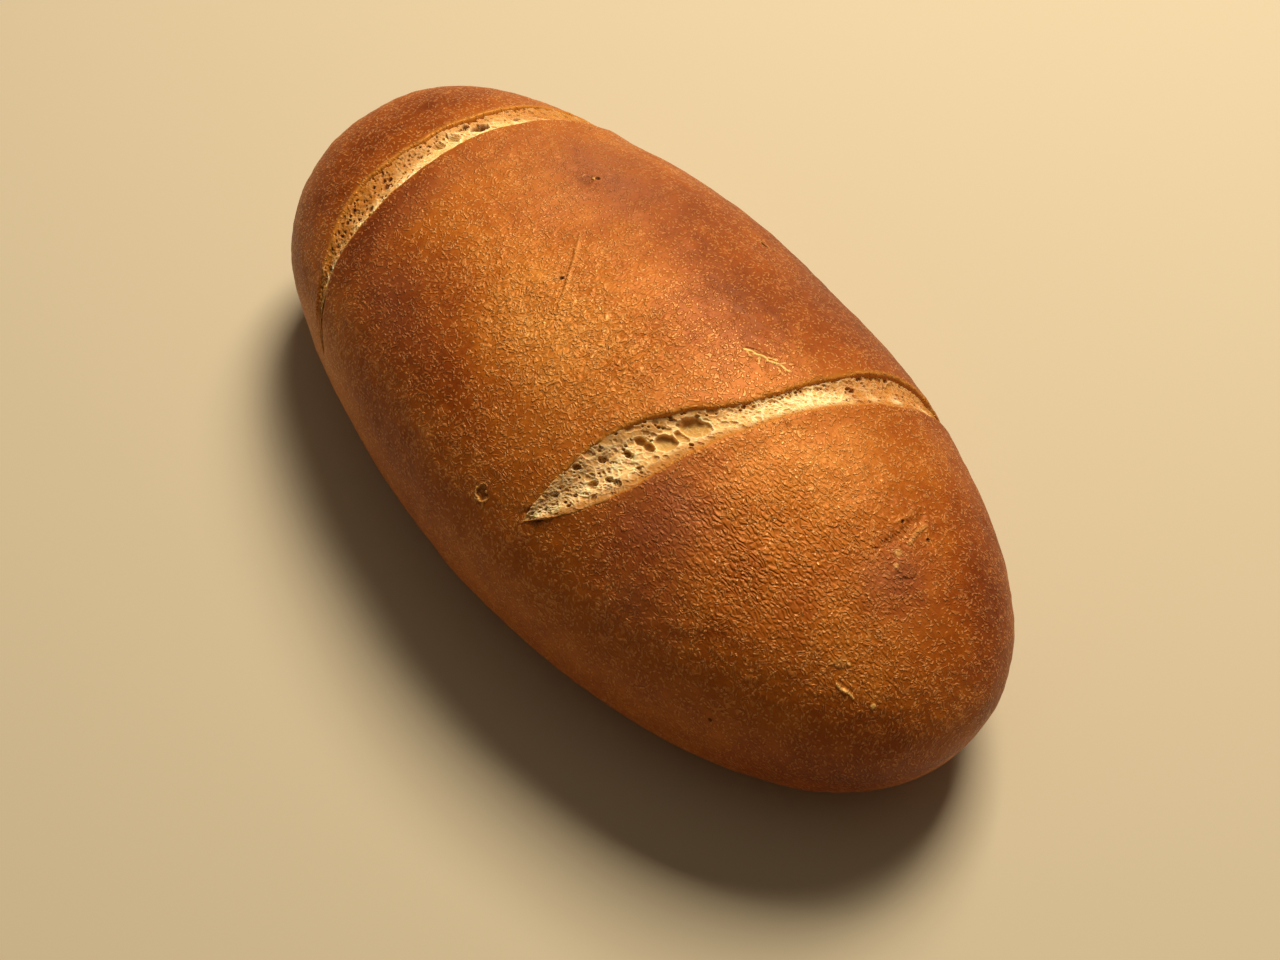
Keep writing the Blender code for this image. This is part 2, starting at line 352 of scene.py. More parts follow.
def wrapped_under(travel, dome):
    """The dome's rows carried on down one flank, across the base and up the other."""
    left = travel[:, [0]]
    right = travel[:, [-1]]
    travels = [travel]
    angles = [np.broadcast_to(dome, travel.shape)]
    flank_shares = np.arange(1, FLANK_COLUMNS + 1) / FLANK_COLUMNS
    for share in flank_shares:
        travels.append(right)
        angles.append(QUARTER + share * (base_edge(right) - QUARTER))
    for share in np.arange(1, BASE_COLUMNS + 1) / (BASE_COLUMNS + 1):
        under = right + (left - right) * share
        travels.append(under)
        angles.append(base_edge(under) + 2.0 * (math.pi - base_edge(under)) * share)
    for share in flank_shares[::-1]:
        travels.append(left)
        angles.append(1.5 * math.pi - share * (base_edge(left) - QUARTER))
    return np.concatenate(travels, axis=1), np.concatenate(angles, axis=1)


def crust_lattice():
    """Travel, angle, lip height and share of torn crust with painted light of every point of the crust."""
    dome = np.linspace(-QUARTER, QUARTER, DOME_COLUMNS)
    travel, height, torn_and_lit = dome_rows(dome)
    travels, angles = wrapped_under(travel, dome)
    extra = ((0, 0), (0, travels.shape[1] - DOME_COLUMNS))
    return travels, angles, np.pad(height, extra), np.pad(torn_and_lit, extra)


# Uneven skin of the crust: cell and height in mm
CRUST_RELIEF = ((30.0, 0.40), (11.0, 0.22), (4.5, 0.15), (2.4, 0.12))
BASE_RELIEF_SHARE = 0.25
RELIEF_END = math.radians(135.0)
RELIEF_FADE = math.radians(40.0)

# Ways around the loaf at all places, so that patterns lie flat on the skin
AROUND_TRAVELS = np.linspace(0.0, 1.0, 241) * FULL_TRAVEL
AROUND_ANGLES = np.linspace(-math.pi, math.pi, 721)
around_points = smooth_skin(AROUND_TRAVELS[:, None], AROUND_ANGLES[None, :])
around_steps = np.linalg.norm(np.diff(around_points, axis=1), axis=-1)
AROUND_WAYS = np.pad(np.cumsum(around_steps, axis=1), ((0, 0), (1, 0)))
AROUND_WAYS -= AROUND_WAYS[:, [len(AROUND_ANGLES) // 2]]


def way_around(travel, angle):
    """Way from the crest to a place, around the loaf; negative on the -Y flank."""
    row = np.clip(travel / FULL_TRAVEL, 0.0, 1.0) * (len(AROUND_TRAVELS) - 1)
    column = (from_crest(angle) + math.pi) / (2.0 * math.pi) * (len(AROUND_ANGLES) - 1)
    first_row = np.minimum(row.astype(int), len(AROUND_TRAVELS) - 2)
    first_column = np.minimum(column.astype(int), len(AROUND_ANGLES) - 2)
    u = row - first_row
    v = column - first_column
    here = AROUND_WAYS[first_row, first_column] * (1.0 - v)
    here += AROUND_WAYS[first_row, first_column + 1] * v
    after = AROUND_WAYS[first_row + 1, first_column] * (1.0 - v)
    after += AROUND_WAYS[first_row + 1, first_column + 1] * v
    return here * (1.0 - u) + after * u


# Where the skin shrank into coarser wrinkles: streaks run around the loaf, the leathery
# wrinkles run along it. Cells are sizes along and around the loaf.
STREAKED = (
    (-14.0, -16.0, 30.0, 16.0, 1.0),
    (6.0, -6.0, 18.0, 16.0, 0.5),
    (-50.0, -20.0, 20.0, 20.0, 0.25),
)
LEATHERY = (
    (66.0, -22.0, 19.0, 18.0, 1.0),
    (76.0, -4.0, 22.0, 16.0, 0.7),
    (104.0, -22.0, 14.0, 18.0, 0.5),
    (92.0, 14.0, 14.0, 14.0, 0.4),
)
LEATHERY_CELL = (7.0 * MM, 3.2 * MM)
STREAKED_CELL = (3.2 * MM, 8.0 * MM)
WRINKLE_TURN = math.radians(19.0)
WRINKLE_HEIGHT = 0.15 * MM

# The wrinkles are a flat slice through the random field, at this level of a cell
FLAT_LEVEL = 0.37


def wrinkles(travel, angle, x):
    """Height of the coarser wrinkles."""
    around = way_around(travel, angle)
    first = travel * math.cos(WRINKLE_TURN) + around * math.sin(WRINKLE_TURN)
    second = around * math.cos(WRINKLE_TURN) - travel * math.sin(WRINKLE_TURN)
    total = 0.0
    for seed, places, cell in ((41, LEATHERY, LEATHERY_CELL), (42, STREAKED, STREAKED_CELL)):
        flat = np.stack((first / cell[0], second / cell[1], np.full(first.shape, FLAT_LEVEL)), axis=-1)
        total = total + patchy(x, angle, places, 0.0) * lattice_noise(flat, 1.0, seed)
    return WRINKLE_HEIGHT * total


# Small marks of the crust get a finer patch of skin of their own: x, y, reach along and
# across, all in mm. The coarse skin sinks out of sight under each patch.
PATCHES = {
    "crust_open_blister": (3.8, -59.3, 6.5, 6.0),
    "crust_dark_pit": (-49.4, 25.3, 7.0, 6.5),
    "crust_back_pit": (-3.7, 51.9, 4.0, 4.0),
    "crust_crease": (-26.5, -3.5, 13.0, 14.5),
    "crust_split": (31.2, 18.6, 8.4, 7.5),
    "crust_dents": (90.0, 14.5, 15.0, 12.0),
    "crust_flakes": (111.0, -21.8, 12.0, 7.0),
    "crust_low_bubble": (88.8, -51.4, 3.5, 3.5),
}
PATCH_SINK = 1.2 * MM
PATCH_BLEND = 0.35
PATCH_OVERLAP = 0.92


def skin_place(x, y):
    """Travel and angle of the place on the dome at x and y, in mm."""
    travel = travel_at(x * MM)
    share = x * MM / (LENGTH / 2.0)
    section = np.interp(travel, OUTLINE_TRAVEL, OUTLINE_SECTION)
    out = (y * MM - BOW * (share**2 - BOW_REST)) / (section * WIDTH / 2.0)
    return travel, math.copysign(math.asin(min(abs(out), 1.0) ** (DOME_POWER / 2.0)), out)


def around_rate(travel, angle):
    """Way around the loaf for each radian, at a place."""
    step = 1e-3
    moved = smooth_skin(travel, angle + step) - smooth_skin(travel, angle - step)
    return np.linalg.norm(moved) / (2.0 * step)


def patch_share(travel, angle, patch):
    """0 at the middle of a patch, 1 at its edge."""
    x, y, reach_along, reach_across = patch
    here, at = skin_place(x, y)
    along = (travel - here) / (reach_along * MM)
    across = from_crest(angle - at) * around_rate(here, at) / (reach_across * MM)
    return (along**4 + across**4) ** 0.25


def crust_surface(travel, angle, lip_height, sunk):
    """Points of the uneven crust, sunk under the patches of the small marks if asked."""
    skin = smooth_skin(travel, angle)
    on_dome = ease((RELIEF_END - np.abs(from_crest(angle))) / RELIEF_FADE)
    relief = swell(travel, angle) + lip_height + wrinkles(travel, angle, skin[..., 0])
    strength = BASE_RELIEF_SHARE + (1.0 - BASE_RELIEF_SHARE) * on_dome
    for seed, (cell, height) in enumerate(CRUST_RELIEF):
        relief = relief + strength * height * MM * lattice_noise(skin, cell * MM, 31 + seed)
    if sunk:
        for patch in PATCHES.values():
            covered = ease((PATCH_OVERLAP - patch_share(travel, angle, patch)) / PATCH_BLEND)
            relief = relief - PATCH_SINK * covered
    points = skin + outward_at(travel, angle) * relief[..., None]
    points[..., 1] += Y_SHIFT
    points[..., 2] = np.maximum(points[..., 2], 0.0)
    return points


def grid_faces(rows, columns, closed):
    """Corner numbers of the quads of a grid of points, seen from outside."""
    row = np.arange(rows - 1)[:, None] * columns
    column = np.arange(columns if closed else columns - 1)[None, :]
    after = (column + 1) % columns
    corners = (row + column, row + columns + column, row + columns + after, row + after)
    return np.stack(corners, axis=-1).reshape(-1, 4)


def mesh_piece(name, points, face_groups, attributes):
    """A smooth mesh object from arrays; attributes hold one number for each point."""
    data = bpy.data.meshes.new(name)
    sizes = np.concatenate([np.full(len(faces), faces.shape[1]) for faces in face_groups])
    corners = np.concatenate([faces.ravel() for faces in face_groups])
    data.vertices.add(len(points))
    data.vertices.foreach_set("co", points.astype(np.float32).ravel())
    data.loops.add(len(corners))
    data.loops.foreach_set("vertex_index", corners.astype(np.int32))
    data.polygons.add(len(sizes))
    starts = np.concatenate(([0], np.cumsum(sizes)[:-1]))
    data.polygons.foreach_set("loop_start", starts.astype(np.int32))
    data.polygons.foreach_set("loop_total", sizes.astype(np.int32))
    data.update(calc_edges=True)
    data.shade_smooth()
    for key, values in attributes.items():
        layer = data.attributes.new(key, "FLOAT", "POINT")
        layer.data.foreach_set("value", values.astype(np.float32).ravel())
    piece = bpy.data.objects.new(name, data)
    bpy.context.scene.collection.objects.link(piece)
    return piece


# Browning by the oven (less, if minus), partly painted light: lighter patches near the crest paint its sheen,
# and darker patches on the +Y side of the dome are partly browning and partly painted shade; and where the
# crust is ruddy, partly a painted sheen
BROWNED_AND_LIGHT = (
    (-62.0, -40.0, 26.0, 16.0, 0.19),
    (-25.0, -42.0, 26.0, 12.0, 0.20),
    (-35.0, -70.0, 26.0, 12.0, 0.16),
    (-13.0, -15.0, 28.0, 15.0, -0.26),
    (18.0, 12.0, 36.0, 14.0, -0.10),
    (46.0, -30.0, 12.0, 12.0, 0.18),
    (57.0, -48.0, 24.0, 14.0, 0.08),
    (70.0, -4.0, 24.0, 16.0, -0.13),
    (98.0, 6.0, 9.0, 9.0, 0.04),
    (-72.0, -82.0, 26.0, 12.0, -0.22),
    (-112.0, 0.0, 16.0, 80.0, 0.27),
    (10.0, 66.0, 70.0, 24.0, 0.34),
    (-24.0, 31.0, 28.0, 14.0, 0.19),
    (16.0, 19.0, 26.0, 15.0, 0.30),
    (32.0, 42.0, 24.0, 14.0, 0.10),
    (112.0, 40.0, 26.0, 34.0, 0.30),
    (124.0, -40.0, 18.0, 30.0, 0.14),
    (124.0, -88.0, 26.0, 24.0, 0.30),
    (108.0, -22.0, 14.0, 12.0, -0.12),
    (-49.0, 21.0, 5.0, 5.0, 0.20),
    (-82.0, -30.0, 6.0, 26.0, 0.27),
)
RUDDY_AND_SHEEN = (
    # The first and largest patch, between the slashes on the +Y side, is a painted pinkish sheen; the others
    # are ruddy crust
    (-50.0, 26.0, 26.0, 18.0, 0.88),
    (46.0, -26.0, 14.0, 12.0, 0.70),
    (-58.0, -40.0, 18.0, 12.0, 0.45),
    (-78.0, -14.0, 6.0, 24.0, 0.35),
    (57.0, -50.0, 14.0, 12.0, 0.45),
    (98.0, 5.0, 9.0, 10.0, 0.60),
    (12.0, 46.0, 40.0, 12.0, 0.20),
)
BROWN_START = 0.42

# Random unevenness of the browning: cell in mm and strength
BROWN_WAVES = ((38.0, 0.05), (13.0, 0.06), (5.0, 0.05))
RUDDY_SHEEN_CELL = 9.0 * MM
RUDDY_SHEEN_RAGGED = 0.5
WRINKLE_EDGE_CELL = 12.0 * MM
WRINKLE_EDGE_RAGGED = 0.6

# The fine pattern of the skin fades out under the loaf, where the oven floor pressed it flat
RISING_END = math.radians(150.0)
RISING_FADE = math.radians(40.0)


def crust_colours(points, travel, angle):
    """What the crust's material reads at each point: browning with painted light, ruddiness with a painted
    sheen, wrinkles, place on the skin.
    """
    x = points[..., 0]
    browned_and_light = patchy(x, angle, BROWNED_AND_LIGHT, BROWN_START)
    for seed, (cell, height) in enumerate(BROWN_WAVES):
        browned_and_light = browned_and_light + height * lattice_noise(points, cell * MM, 51 + seed)
    ruddy_and_sheen = patchy(x, angle, RUDDY_AND_SHEEN, 0.0)
    ruddy_and_sheen = ruddy_and_sheen * (1.0 + RUDDY_SHEEN_RAGGED * lattice_noise(points, RUDDY_SHEEN_CELL, 61))
    ragged = 1.0 + WRINKLE_EDGE_RAGGED * lattice_noise(points, WRINKLE_EDGE_CELL, 62)
    return {
        "browned_and_light": np.clip(browned_and_light, 0.0, 1.0),
        "ruddy_and_sheen": np.clip(ruddy_and_sheen, 0.0, 1.0),
        "streaked": np.clip(patchy(x, angle, STREAKED, 0.0) * ragged, 0.0, 1.0),
        "leathery": np.clip(patchy(x, angle, LEATHERY, 0.0) * ragged, 0.0, 1.0),
        "skin_along": travel,
        "skin_around": way_around(travel, angle),
        "rising": ease((RISING_END - np.abs(from_crest(angle))) / RISING_FADE),
    }


def tip_fan(tip, ring):
    """Corner numbers of the triangles between a tip and the row next to it."""
    return np.stack((np.full(len(ring), tip), ring, np.roll(ring, -1)), axis=-1)


crust_travel, crust_angle, crust_lip, crust_torn_and_lit = crust_lattice()
crust_rows, crust_columns = crust_travel.shape
crust_points = crust_surface(crust_travel, crust_angle, crust_lip, True)
tip_travels = np.array([0.0, FULL_TRAVEL])
crust_tips = smooth_skin(tip_travels, np.zeros(2)) + np.array([0.0, Y_SHIFT, 0.0])
all_points = np.concatenate((crust_points.reshape(-1, 3), crust_tips))
crust_values = crust_colours(
    all_points,
    np.append(crust_travel.ravel(), tip_travels),
    np.append(crust_angle.ravel(), np.zeros(2)),
)
crust_values["torn_and_lit"] = np.append(crust_torn_and_lit.ravel(), np.zeros(2))
tip_number = crust_rows * crust_columns
first_ring = np.arange(crust_columns)
last_ring = np.arange(tip_number - crust_columns, tip_number)
crust = mesh_piece(
    "crust",
    all_points,
    (
        grid_faces(crust_rows, crust_columns, True),
        tip_fan(tip_number, first_ring),
        tip_fan(tip_number + 1, last_ring)[:, [0, 2, 1]],
    ),
    crust_values,
)


def linear(code):
    """A colour of sRGB hex digits as linear numbers."""
    shares = [int(code[i:i + 2], 16) / 255.0 for i in (1, 3, 5)]
    return tuple(s / 12.92 if s <= 0.04045 else ((s + 0.055) / 1.055) ** 2.4 for s in shares) + (1.0,)


def add(tree, kind, inputs, **settings):
    """Adds a node; an input is a value, a socket, or a node whose first output feeds it."""
    node = tree.nodes.new("ShaderNode" + kind)
    for key, value in settings.items():
        setattr(node, key, value)
    for key, value in inputs.items():
        if isinstance(value, bpy.types.Node):
            value = value.outputs[0]
        if isinstance(value, bpy.types.NodeSocket):
            tree.links.new(value, node.inputs[key])
        else:
            node.inputs[key].default_value = value
    return node


def blank_material(name):
    material = bpy.data.materials.new(name)
    material.use_nodes = True
    material.node_tree.nodes.clear()
    return material, material.node_tree


def set_steps(node, steps):
    """Gives a colour ramp its steps, each a place and a colour."""
    elements = node.color_ramp.elements
    while len(elements) > 1:
        elements.remove(elements[-1])
    for number, (place, colour) in enumerate(steps):
        element = elements[0] if number == 0 else elements.new(place)
        element.position = place
        element.color = linear(colour)
    return node.outputs["Color"]


def layers_of(tree, keys):
    """What the mesh holds for each of its points, by name."""
    return {key: add(tree, "Attribute", {}, attribute_name=key).outputs["Fac"] for key in keys}


def weighed(tree, start, *parts):
    """Sum of values, each with a weight of its own."""
    for value, weight in parts:
        start = add(tree, "Math", {0: value, 1: weight, 2: start}, operation="MULTIPLY_ADD")
    return start


def product(tree, value, *others):
    """Values multiplied with each other."""
    for other in others:
        value = add(tree, "Math", {0: value, 1: other}, operation="MULTIPLY")
    return value


def coated(tree, base, *coats):
    """A colour under further ones, each with the share that it covers."""
    for share, colour in coats:
        base = add(tree, "Mix", {0: share, 6: base, 7: linear(colour)}, data_type="RGBA").outputs[2]
    return base


# Colours of the crust from barely baked to well baked
CRUST_STEPS = (
    (0.0, "#DB8F3A"),
    (0.22, "#C87628"),
    (0.42, "#B05C14"),
    (0.62, "#934209"),
    (0.82, "#702B04"),
    (1.0, "#4E1B04"),
)
# Ruddy crust, and in its largest patch a painted sheen
RUDDY_SHEEN_CRUST = "#94502F"
RUDDY_SHEEN_SHARE = 0.85
# Torn crust at the lips, lightened as painted light on the roll faces turned from the light
TORN_AND_LIT_CRUST = "#C47C2C"
# Ridges of curls and specks: paler crust with a painted highlight
RIDGE_GLINT_CRUST = "#E39E5C"
# Dark of the marks: painted shade in pits, grooves and hollows
DARK_AND_SHADE_MARK = "#432812"
# Pale of the marks: pale split and flakes, and painted glints on small bumps and rims
PALE_AND_GLINT_MARK = "#EDB663"
CRUST_LAYERS = (
    "browned_and_light", "ruddy_and_sheen", "streaked", "leathery", "rising", "torn_and_lit", "pale", "dark", "skin_along", "skin_around",
)

crust_material, tree = blank_material("baked_crust")
place = add(tree, "TexCoord", {}).outputs["Object"]
layers = layers_of(tree, CRUST_LAYERS)
skin = add(tree, "CombineXYZ", {0: layers["skin_along"], 1: layers["skin_around"]})

# Fine curls of the glazed skin: nested ridges half a millimetre wide, broken up into
# strokes one to three millimetres long, which crowd on streaked and on pale crust
CURL_CELL = 3.2 * MM
CURL_LINES = 4.6
BREAK_CELL = 1.9 * MM
CROWD_CELL = 14.0 * MM
WARP_CELL = 3.0 * MM
CROWD_WEIGHT = 0.5
STREAKED_CROWD = 0.10
PALE_CROWD = 0.22
LEATHERY_CROWD = -0.06

curl_noise, breaks, crowd, warp = [
    add(tree, "TexNoise", {"Vector": skin, "Scale": 1.0 / cell, "Detail": 1.0}, noise_dimensions="2D")
    for cell in (CURL_CELL, BREAK_CELL, CROWD_CELL, WARP_CELL)
]
curl_noise.inputs["Roughness"].default_value = 0.45
curl_noise.inputs["Distortion"].default_value = 0.6
nested = add(tree, "Math", {0: product(tree, curl_noise, CURL_LINES), 1: 0.5}, operation="PINGPONG")
paleness = add(tree, "Math", {0: BROWN_START, 1: layers["browned_and_light"]}, operation="SUBTRACT")
crowding = weighed(
    tree,
    breaks,
    (crowd, CROWD_WEIGHT),
    (layers["streaked"], STREAKED_CROWD),
    (paleness, PALE_CROWD),
    (layers["leathery"], LEATHERY_CROWD),
)

# Raised specks the size of poppy seeds, each turned its own way, and some left out
SPECK_CELL = 1.25 * MM
SPECK_SHARPNESS = (1.7, 3.7, 0.0)

on_specks = add(tree, "Mapping", {"Vector": skin, "Scale": (1.0 / SPECK_CELL, 1.0 / SPECK_CELL, 1.0)})
speck = add(tree, "TexVoronoi", {"Vector": on_specks, "Scale": 1.0}, voronoi_dimensions="2D")
speck_draws = add(tree, "SeparateColor", {"Color": speck.outputs["Color"]}).outputs
speck_turn = product(tree, speck_draws[0], 2.0 * math.pi)
offset = add(tree, "VectorMath", {0: on_specks, 1: speck.outputs["Position"]}, operation="SUBTRACT")
offset = add(tree, "VectorRotate", {"Vector": offset, "Angle": speck_turn}, rotation_type="Z_AXIS")
offset = add(tree, "VectorMath", {0: offset, 1: SPECK_SHARPNESS}, operation="MULTIPLY")
speck_away = add(tree, "VectorMath", {0: offset}, operation="LENGTH").outputs["Value"]

# The first range of each gives the edge of its strokes, the second one which of them show
CURL_RANGES = ((nested, 0.20, 0.42), (crowding, 0.69, 0.80))
SPECK_RANGES = ((speck_away, 1.0, 0.55), (speck_draws[1], 0.40, 0.70))
curl_ridge, speck_ridge = [
    product(tree, *(
        add(tree, "MapRange", {"Value": value, 1: low, 2: high}, interpolation_type="SMOOTHSTEP")
        for value, low, high in ranges
    ))
    for ranges in (CURL_RANGES, SPECK_RANGES)
]

# Leathery wrinkles and streaks, where the skin shrank most: puffed cells, as long along and
# around the loaf as given here, with creases between them
WARP_REACH = (1.1, 1.1, 0.0)
LEATHER_CELL = (2.6 * MM, 1.3 * MM)
STREAK_CELL = (1.3 * MM, 3.4 * MM)
CREASE_EDGE = 0.42

warp = add(tree, "VectorMath", {0: warp.outputs["Color"], 1: (0.5, 0.5, 0.5)}, operation="SUBTRACT")
creases = []
for (cell_along, cell_around), where in ((LEATHER_CELL, "leathery"), (STREAK_CELL, "streaked")):
    scale = (1.0 / cell_along, 1.0 / cell_around, 1.0)
    at = add(tree, "Mapping", {"Vector": skin, "Rotation": (0.0, 0.0, -WRINKLE_TURN), "Scale": scale})
    at = add(tree, "VectorMath", {0: warp, 1: WARP_REACH, 2: at}, operation="MULTIPLY_ADD")
    cells = add(tree, "TexVoronoi", {"Vector": at, "Scale": 1.0}, voronoi_dimensions="2D")
    cells.feature = "DISTANCE_TO_EDGE"
    away = cells.outputs["Distance"]
    puffed = add(tree, "MapRange", {"Value": away, 2: CREASE_EDGE}, interpolation_type="SMOOTHSTEP")
    sunk = add(tree, "Math", {0: 1.0, 1: puffed}, operation="SUBTRACT")
    creases.append(product(tree, sunk, layers[where]))
leather_crease, streak_crease = creases
# Both kinds of crease together; below they darken the crust as painted shade
crease = add(tree, "Math", {0: leather_crease, 1: streak_crease}, operation="MAXIMUM")

# Fine unevenness of the browning
MOTTLE_CELL = 6.0 * MM
GRAIN_CELL = 0.8 * MM

mottle = add(tree, "TexNoise", {"Vector": place, "Scale": 1.0 / MOTTLE_CELL, "Detail": 3.0, "Roughness": 0.6})
grain = add(tree, "TexNoise", {"Vector": place, "Scale": 1.0 / GRAIN_CELL, "Detail": 2.0, "Roughness": 0.6})
mottle_part, grain_part = [
    add(tree, "Math", {0: noise, 1: 0.5}, operation="SUBTRACT") for noise in (mottle, grain)
]

# How much each part of the pattern darkens the crust, or lightens it if minus
TONE_START = 0.04
MOTTLE_TONE = 0.30
GRAIN_TONE = -0.20
# Curls and specks lighten the crust: partly paler crust, partly a painted highlight where they catch the
# light
CURL_GLINT_TONE = -0.08
SPECK_GLINT_TONE = -0.14
# Creases darken the crust: painted shade
CREASE_SHADE_TONE = 0.06

# How much curls and specks show the paler colour of ridges with a painted highlight, on pale crust and
# less on brown
CURL_GLINT_PALENESS = 0.25
SPECK_GLINT_PALENESS = 0.52
PALENESS_START = 1.30
BROWN_PALENESS = -1.15

# Height of each part of the pattern, in mm, and how it changes the gloss
CURL_RELIEF = 0.17
SPECK_RELIEF = 0.17
LEATHER_RELIEF = -0.27
STREAK_RELIEF = -0.24
GRAIN_RELIEF = 0.05
CRUST_ROUGHNESS = 0.50
RIDGE_ROUGHNESS = -0.10

tone = weighed(
    tree,
    layers["browned_and_light"],
    (mottle_part, MOTTLE_TONE),
    (grain_part, GRAIN_TONE),
    (curl_ridge, CURL_GLINT_TONE),
    (speck_ridge, SPECK_GLINT_TONE),
    (crease, CREASE_SHADE_TONE),
)
tone = add(tree, "Math", {0: tone, 1: TONE_START}, operation="ADD")
curl_glint = product(tree, curl_ridge, CURL_GLINT_PALENESS)
speck_glint = product(tree, speck_ridge, SPECK_GLINT_PALENESS)
ridge_glint_share = add(tree, "Math", {0: curl_glint, 1: speck_glint}, operation="MAXIMUM")
on_pale = weighed(tree, PALENESS_START, (layers["browned_and_light"], BROWN_PALENESS))
ridge_glint_share = product(tree, ridge_glint_share, layers["rising"], on_pale)
baked = coated(
    tree,
    set_steps(add(tree, "ValToRGB", {"Fac": tone}), CRUST_STEPS),
    (ridge_glint_share, RIDGE_GLINT_CRUST),
    (product(tree, layers["ruddy_and_sheen"], RUDDY_SHEEN_SHARE), RUDDY_SHEEN_CRUST),
    (layers["torn_and_lit"], TORN_AND_LIT_CRUST),
    (layers["dark"], DARK_AND_SHADE_MARK),
    (layers["pale"], PALE_AND_GLINT_MARK),
)
relief = weighed(
    tree,
    0.0,
    (product(tree, curl_ridge, layers["rising"]), CURL_RELIEF),
    (speck_ridge, SPECK_RELIEF),
    (leather_crease, LEATHER_RELIEF),
    (streak_crease, STREAK_RELIEF),
    (grain, GRAIN_RELIEF),
)
ridges = add(tree, "Math", {0: curl_ridge, 1: speck_ridge}, operation="MAXIMUM")
ridges = product(tree, ridges, layers["rising"])
shader = add(
    tree,
    "BsdfPrincipled",
    {
        "Base Color": baked,
        "Metallic": 0.12,
        "Roughness": weighed(tree, CRUST_ROUGHNESS, (ridges, RIDGE_ROUGHNESS)),
        "Specular IOR Level": 0.30,
        "Specular Tint": (1.0, 0.78, 0.45, 1.0),
        "Normal": add(tree, "Bump", {"Height": relief, "Distance": MM, "Strength": 1.0}),
    },
)
add(tree, "OutputMaterial", {"Surface": shader})
crust.data.materials.append(crust_material)
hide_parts("loaf")
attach(crust, "root")

# The crust's small marks, each on a finer patch of the same skin: an open blister on the
# flank, burst pits, a crease, a pale split, dents and lifted flakes. Their dark is painted shade
# in pits, grooves and hollows, and part of their pale is a painted highlight on rims and glints on bumps.

# Spacing of a patch's grid, and how far a patch lies above the coarse skin
PATCH_STEP = 0.17 * MM
PATCH_LIFT = 0.03 * MM

# Round marks: x, y, radius, depth (minus for a bump), rim height, pale share (painted glints on small
# bumps, a painted highlight on rims), dark share (painted shade in pits and hollows), and the direction
# in which the rim is open, in degrees, or None. Lengths are in mm.
ROUND_MARKS = (
    (3.8, -59.3, 1.85, 0.32, 0.36, 1.0, 0.45, 70.0),
    # A painted glint inside the blister
    (4.6, -58.6, 0.50, -0.35, 0.0, 0.80, 0.0, None),
    (-48.9, 26.9, 0.7, 0.8, 0.10, 0.10, 0.90, None),
    (-49.4, 25.8, 0.5, -0.2, 0.0, 0.55, 0.0, None),
    (-50.4, 23.8, 2.3, 0.3, 0.0, 0.0, 0.22, None),
    (-3.7, 51.9, 1.2, 0.8, 0.12, 0.25, 1.0, None),
    (-0.6, 52.6, 0.5, 0.3, 0.0, 0.0, 0.60, None),
    (-24.9, -6.6, 0.6, 0.6, 0.10, 0.15, 0.80, None),
    (-25.4, -7.4, 2.0, 0.25, 0.0, 0.0, 0.10, None),
    (87.7, 16.4, 0.50, 0.6, 0.05, 0.0, 0.85, None),
    (95.0, 19.6, 0.50, 0.6, 0.05, 0.0, 0.85, None),
    (97.4, 8.4, 3.0, -0.40, 0.0, 0.0, 0.12, None),
    (93.4, 9.4, 1.1, -0.25, 0.0, 0.40, 0.0, None),
    (95.4, 6.4, 0.8, -0.20, 0.0, 0.35, 0.0, None),
    (103.8, -20.7, 1.9, -0.20, 0.0, 0.22, 0.0, None),
    (102.4, -22.6, 0.8, -0.25, 0.0, 0.35, 0.0, None),
    (105.6, -19.4, 0.6, -0.25, 0.0, 0.60, 0.0, None),
    # A painted glint on a small bump
    (116.4, -19.9, 0.75, -0.35, 0.0, 1.0, 0.0, None),
    (88.8, -51.4, 0.60, 0.4, 0.30, 0.55, 0.30, 200.0),
)

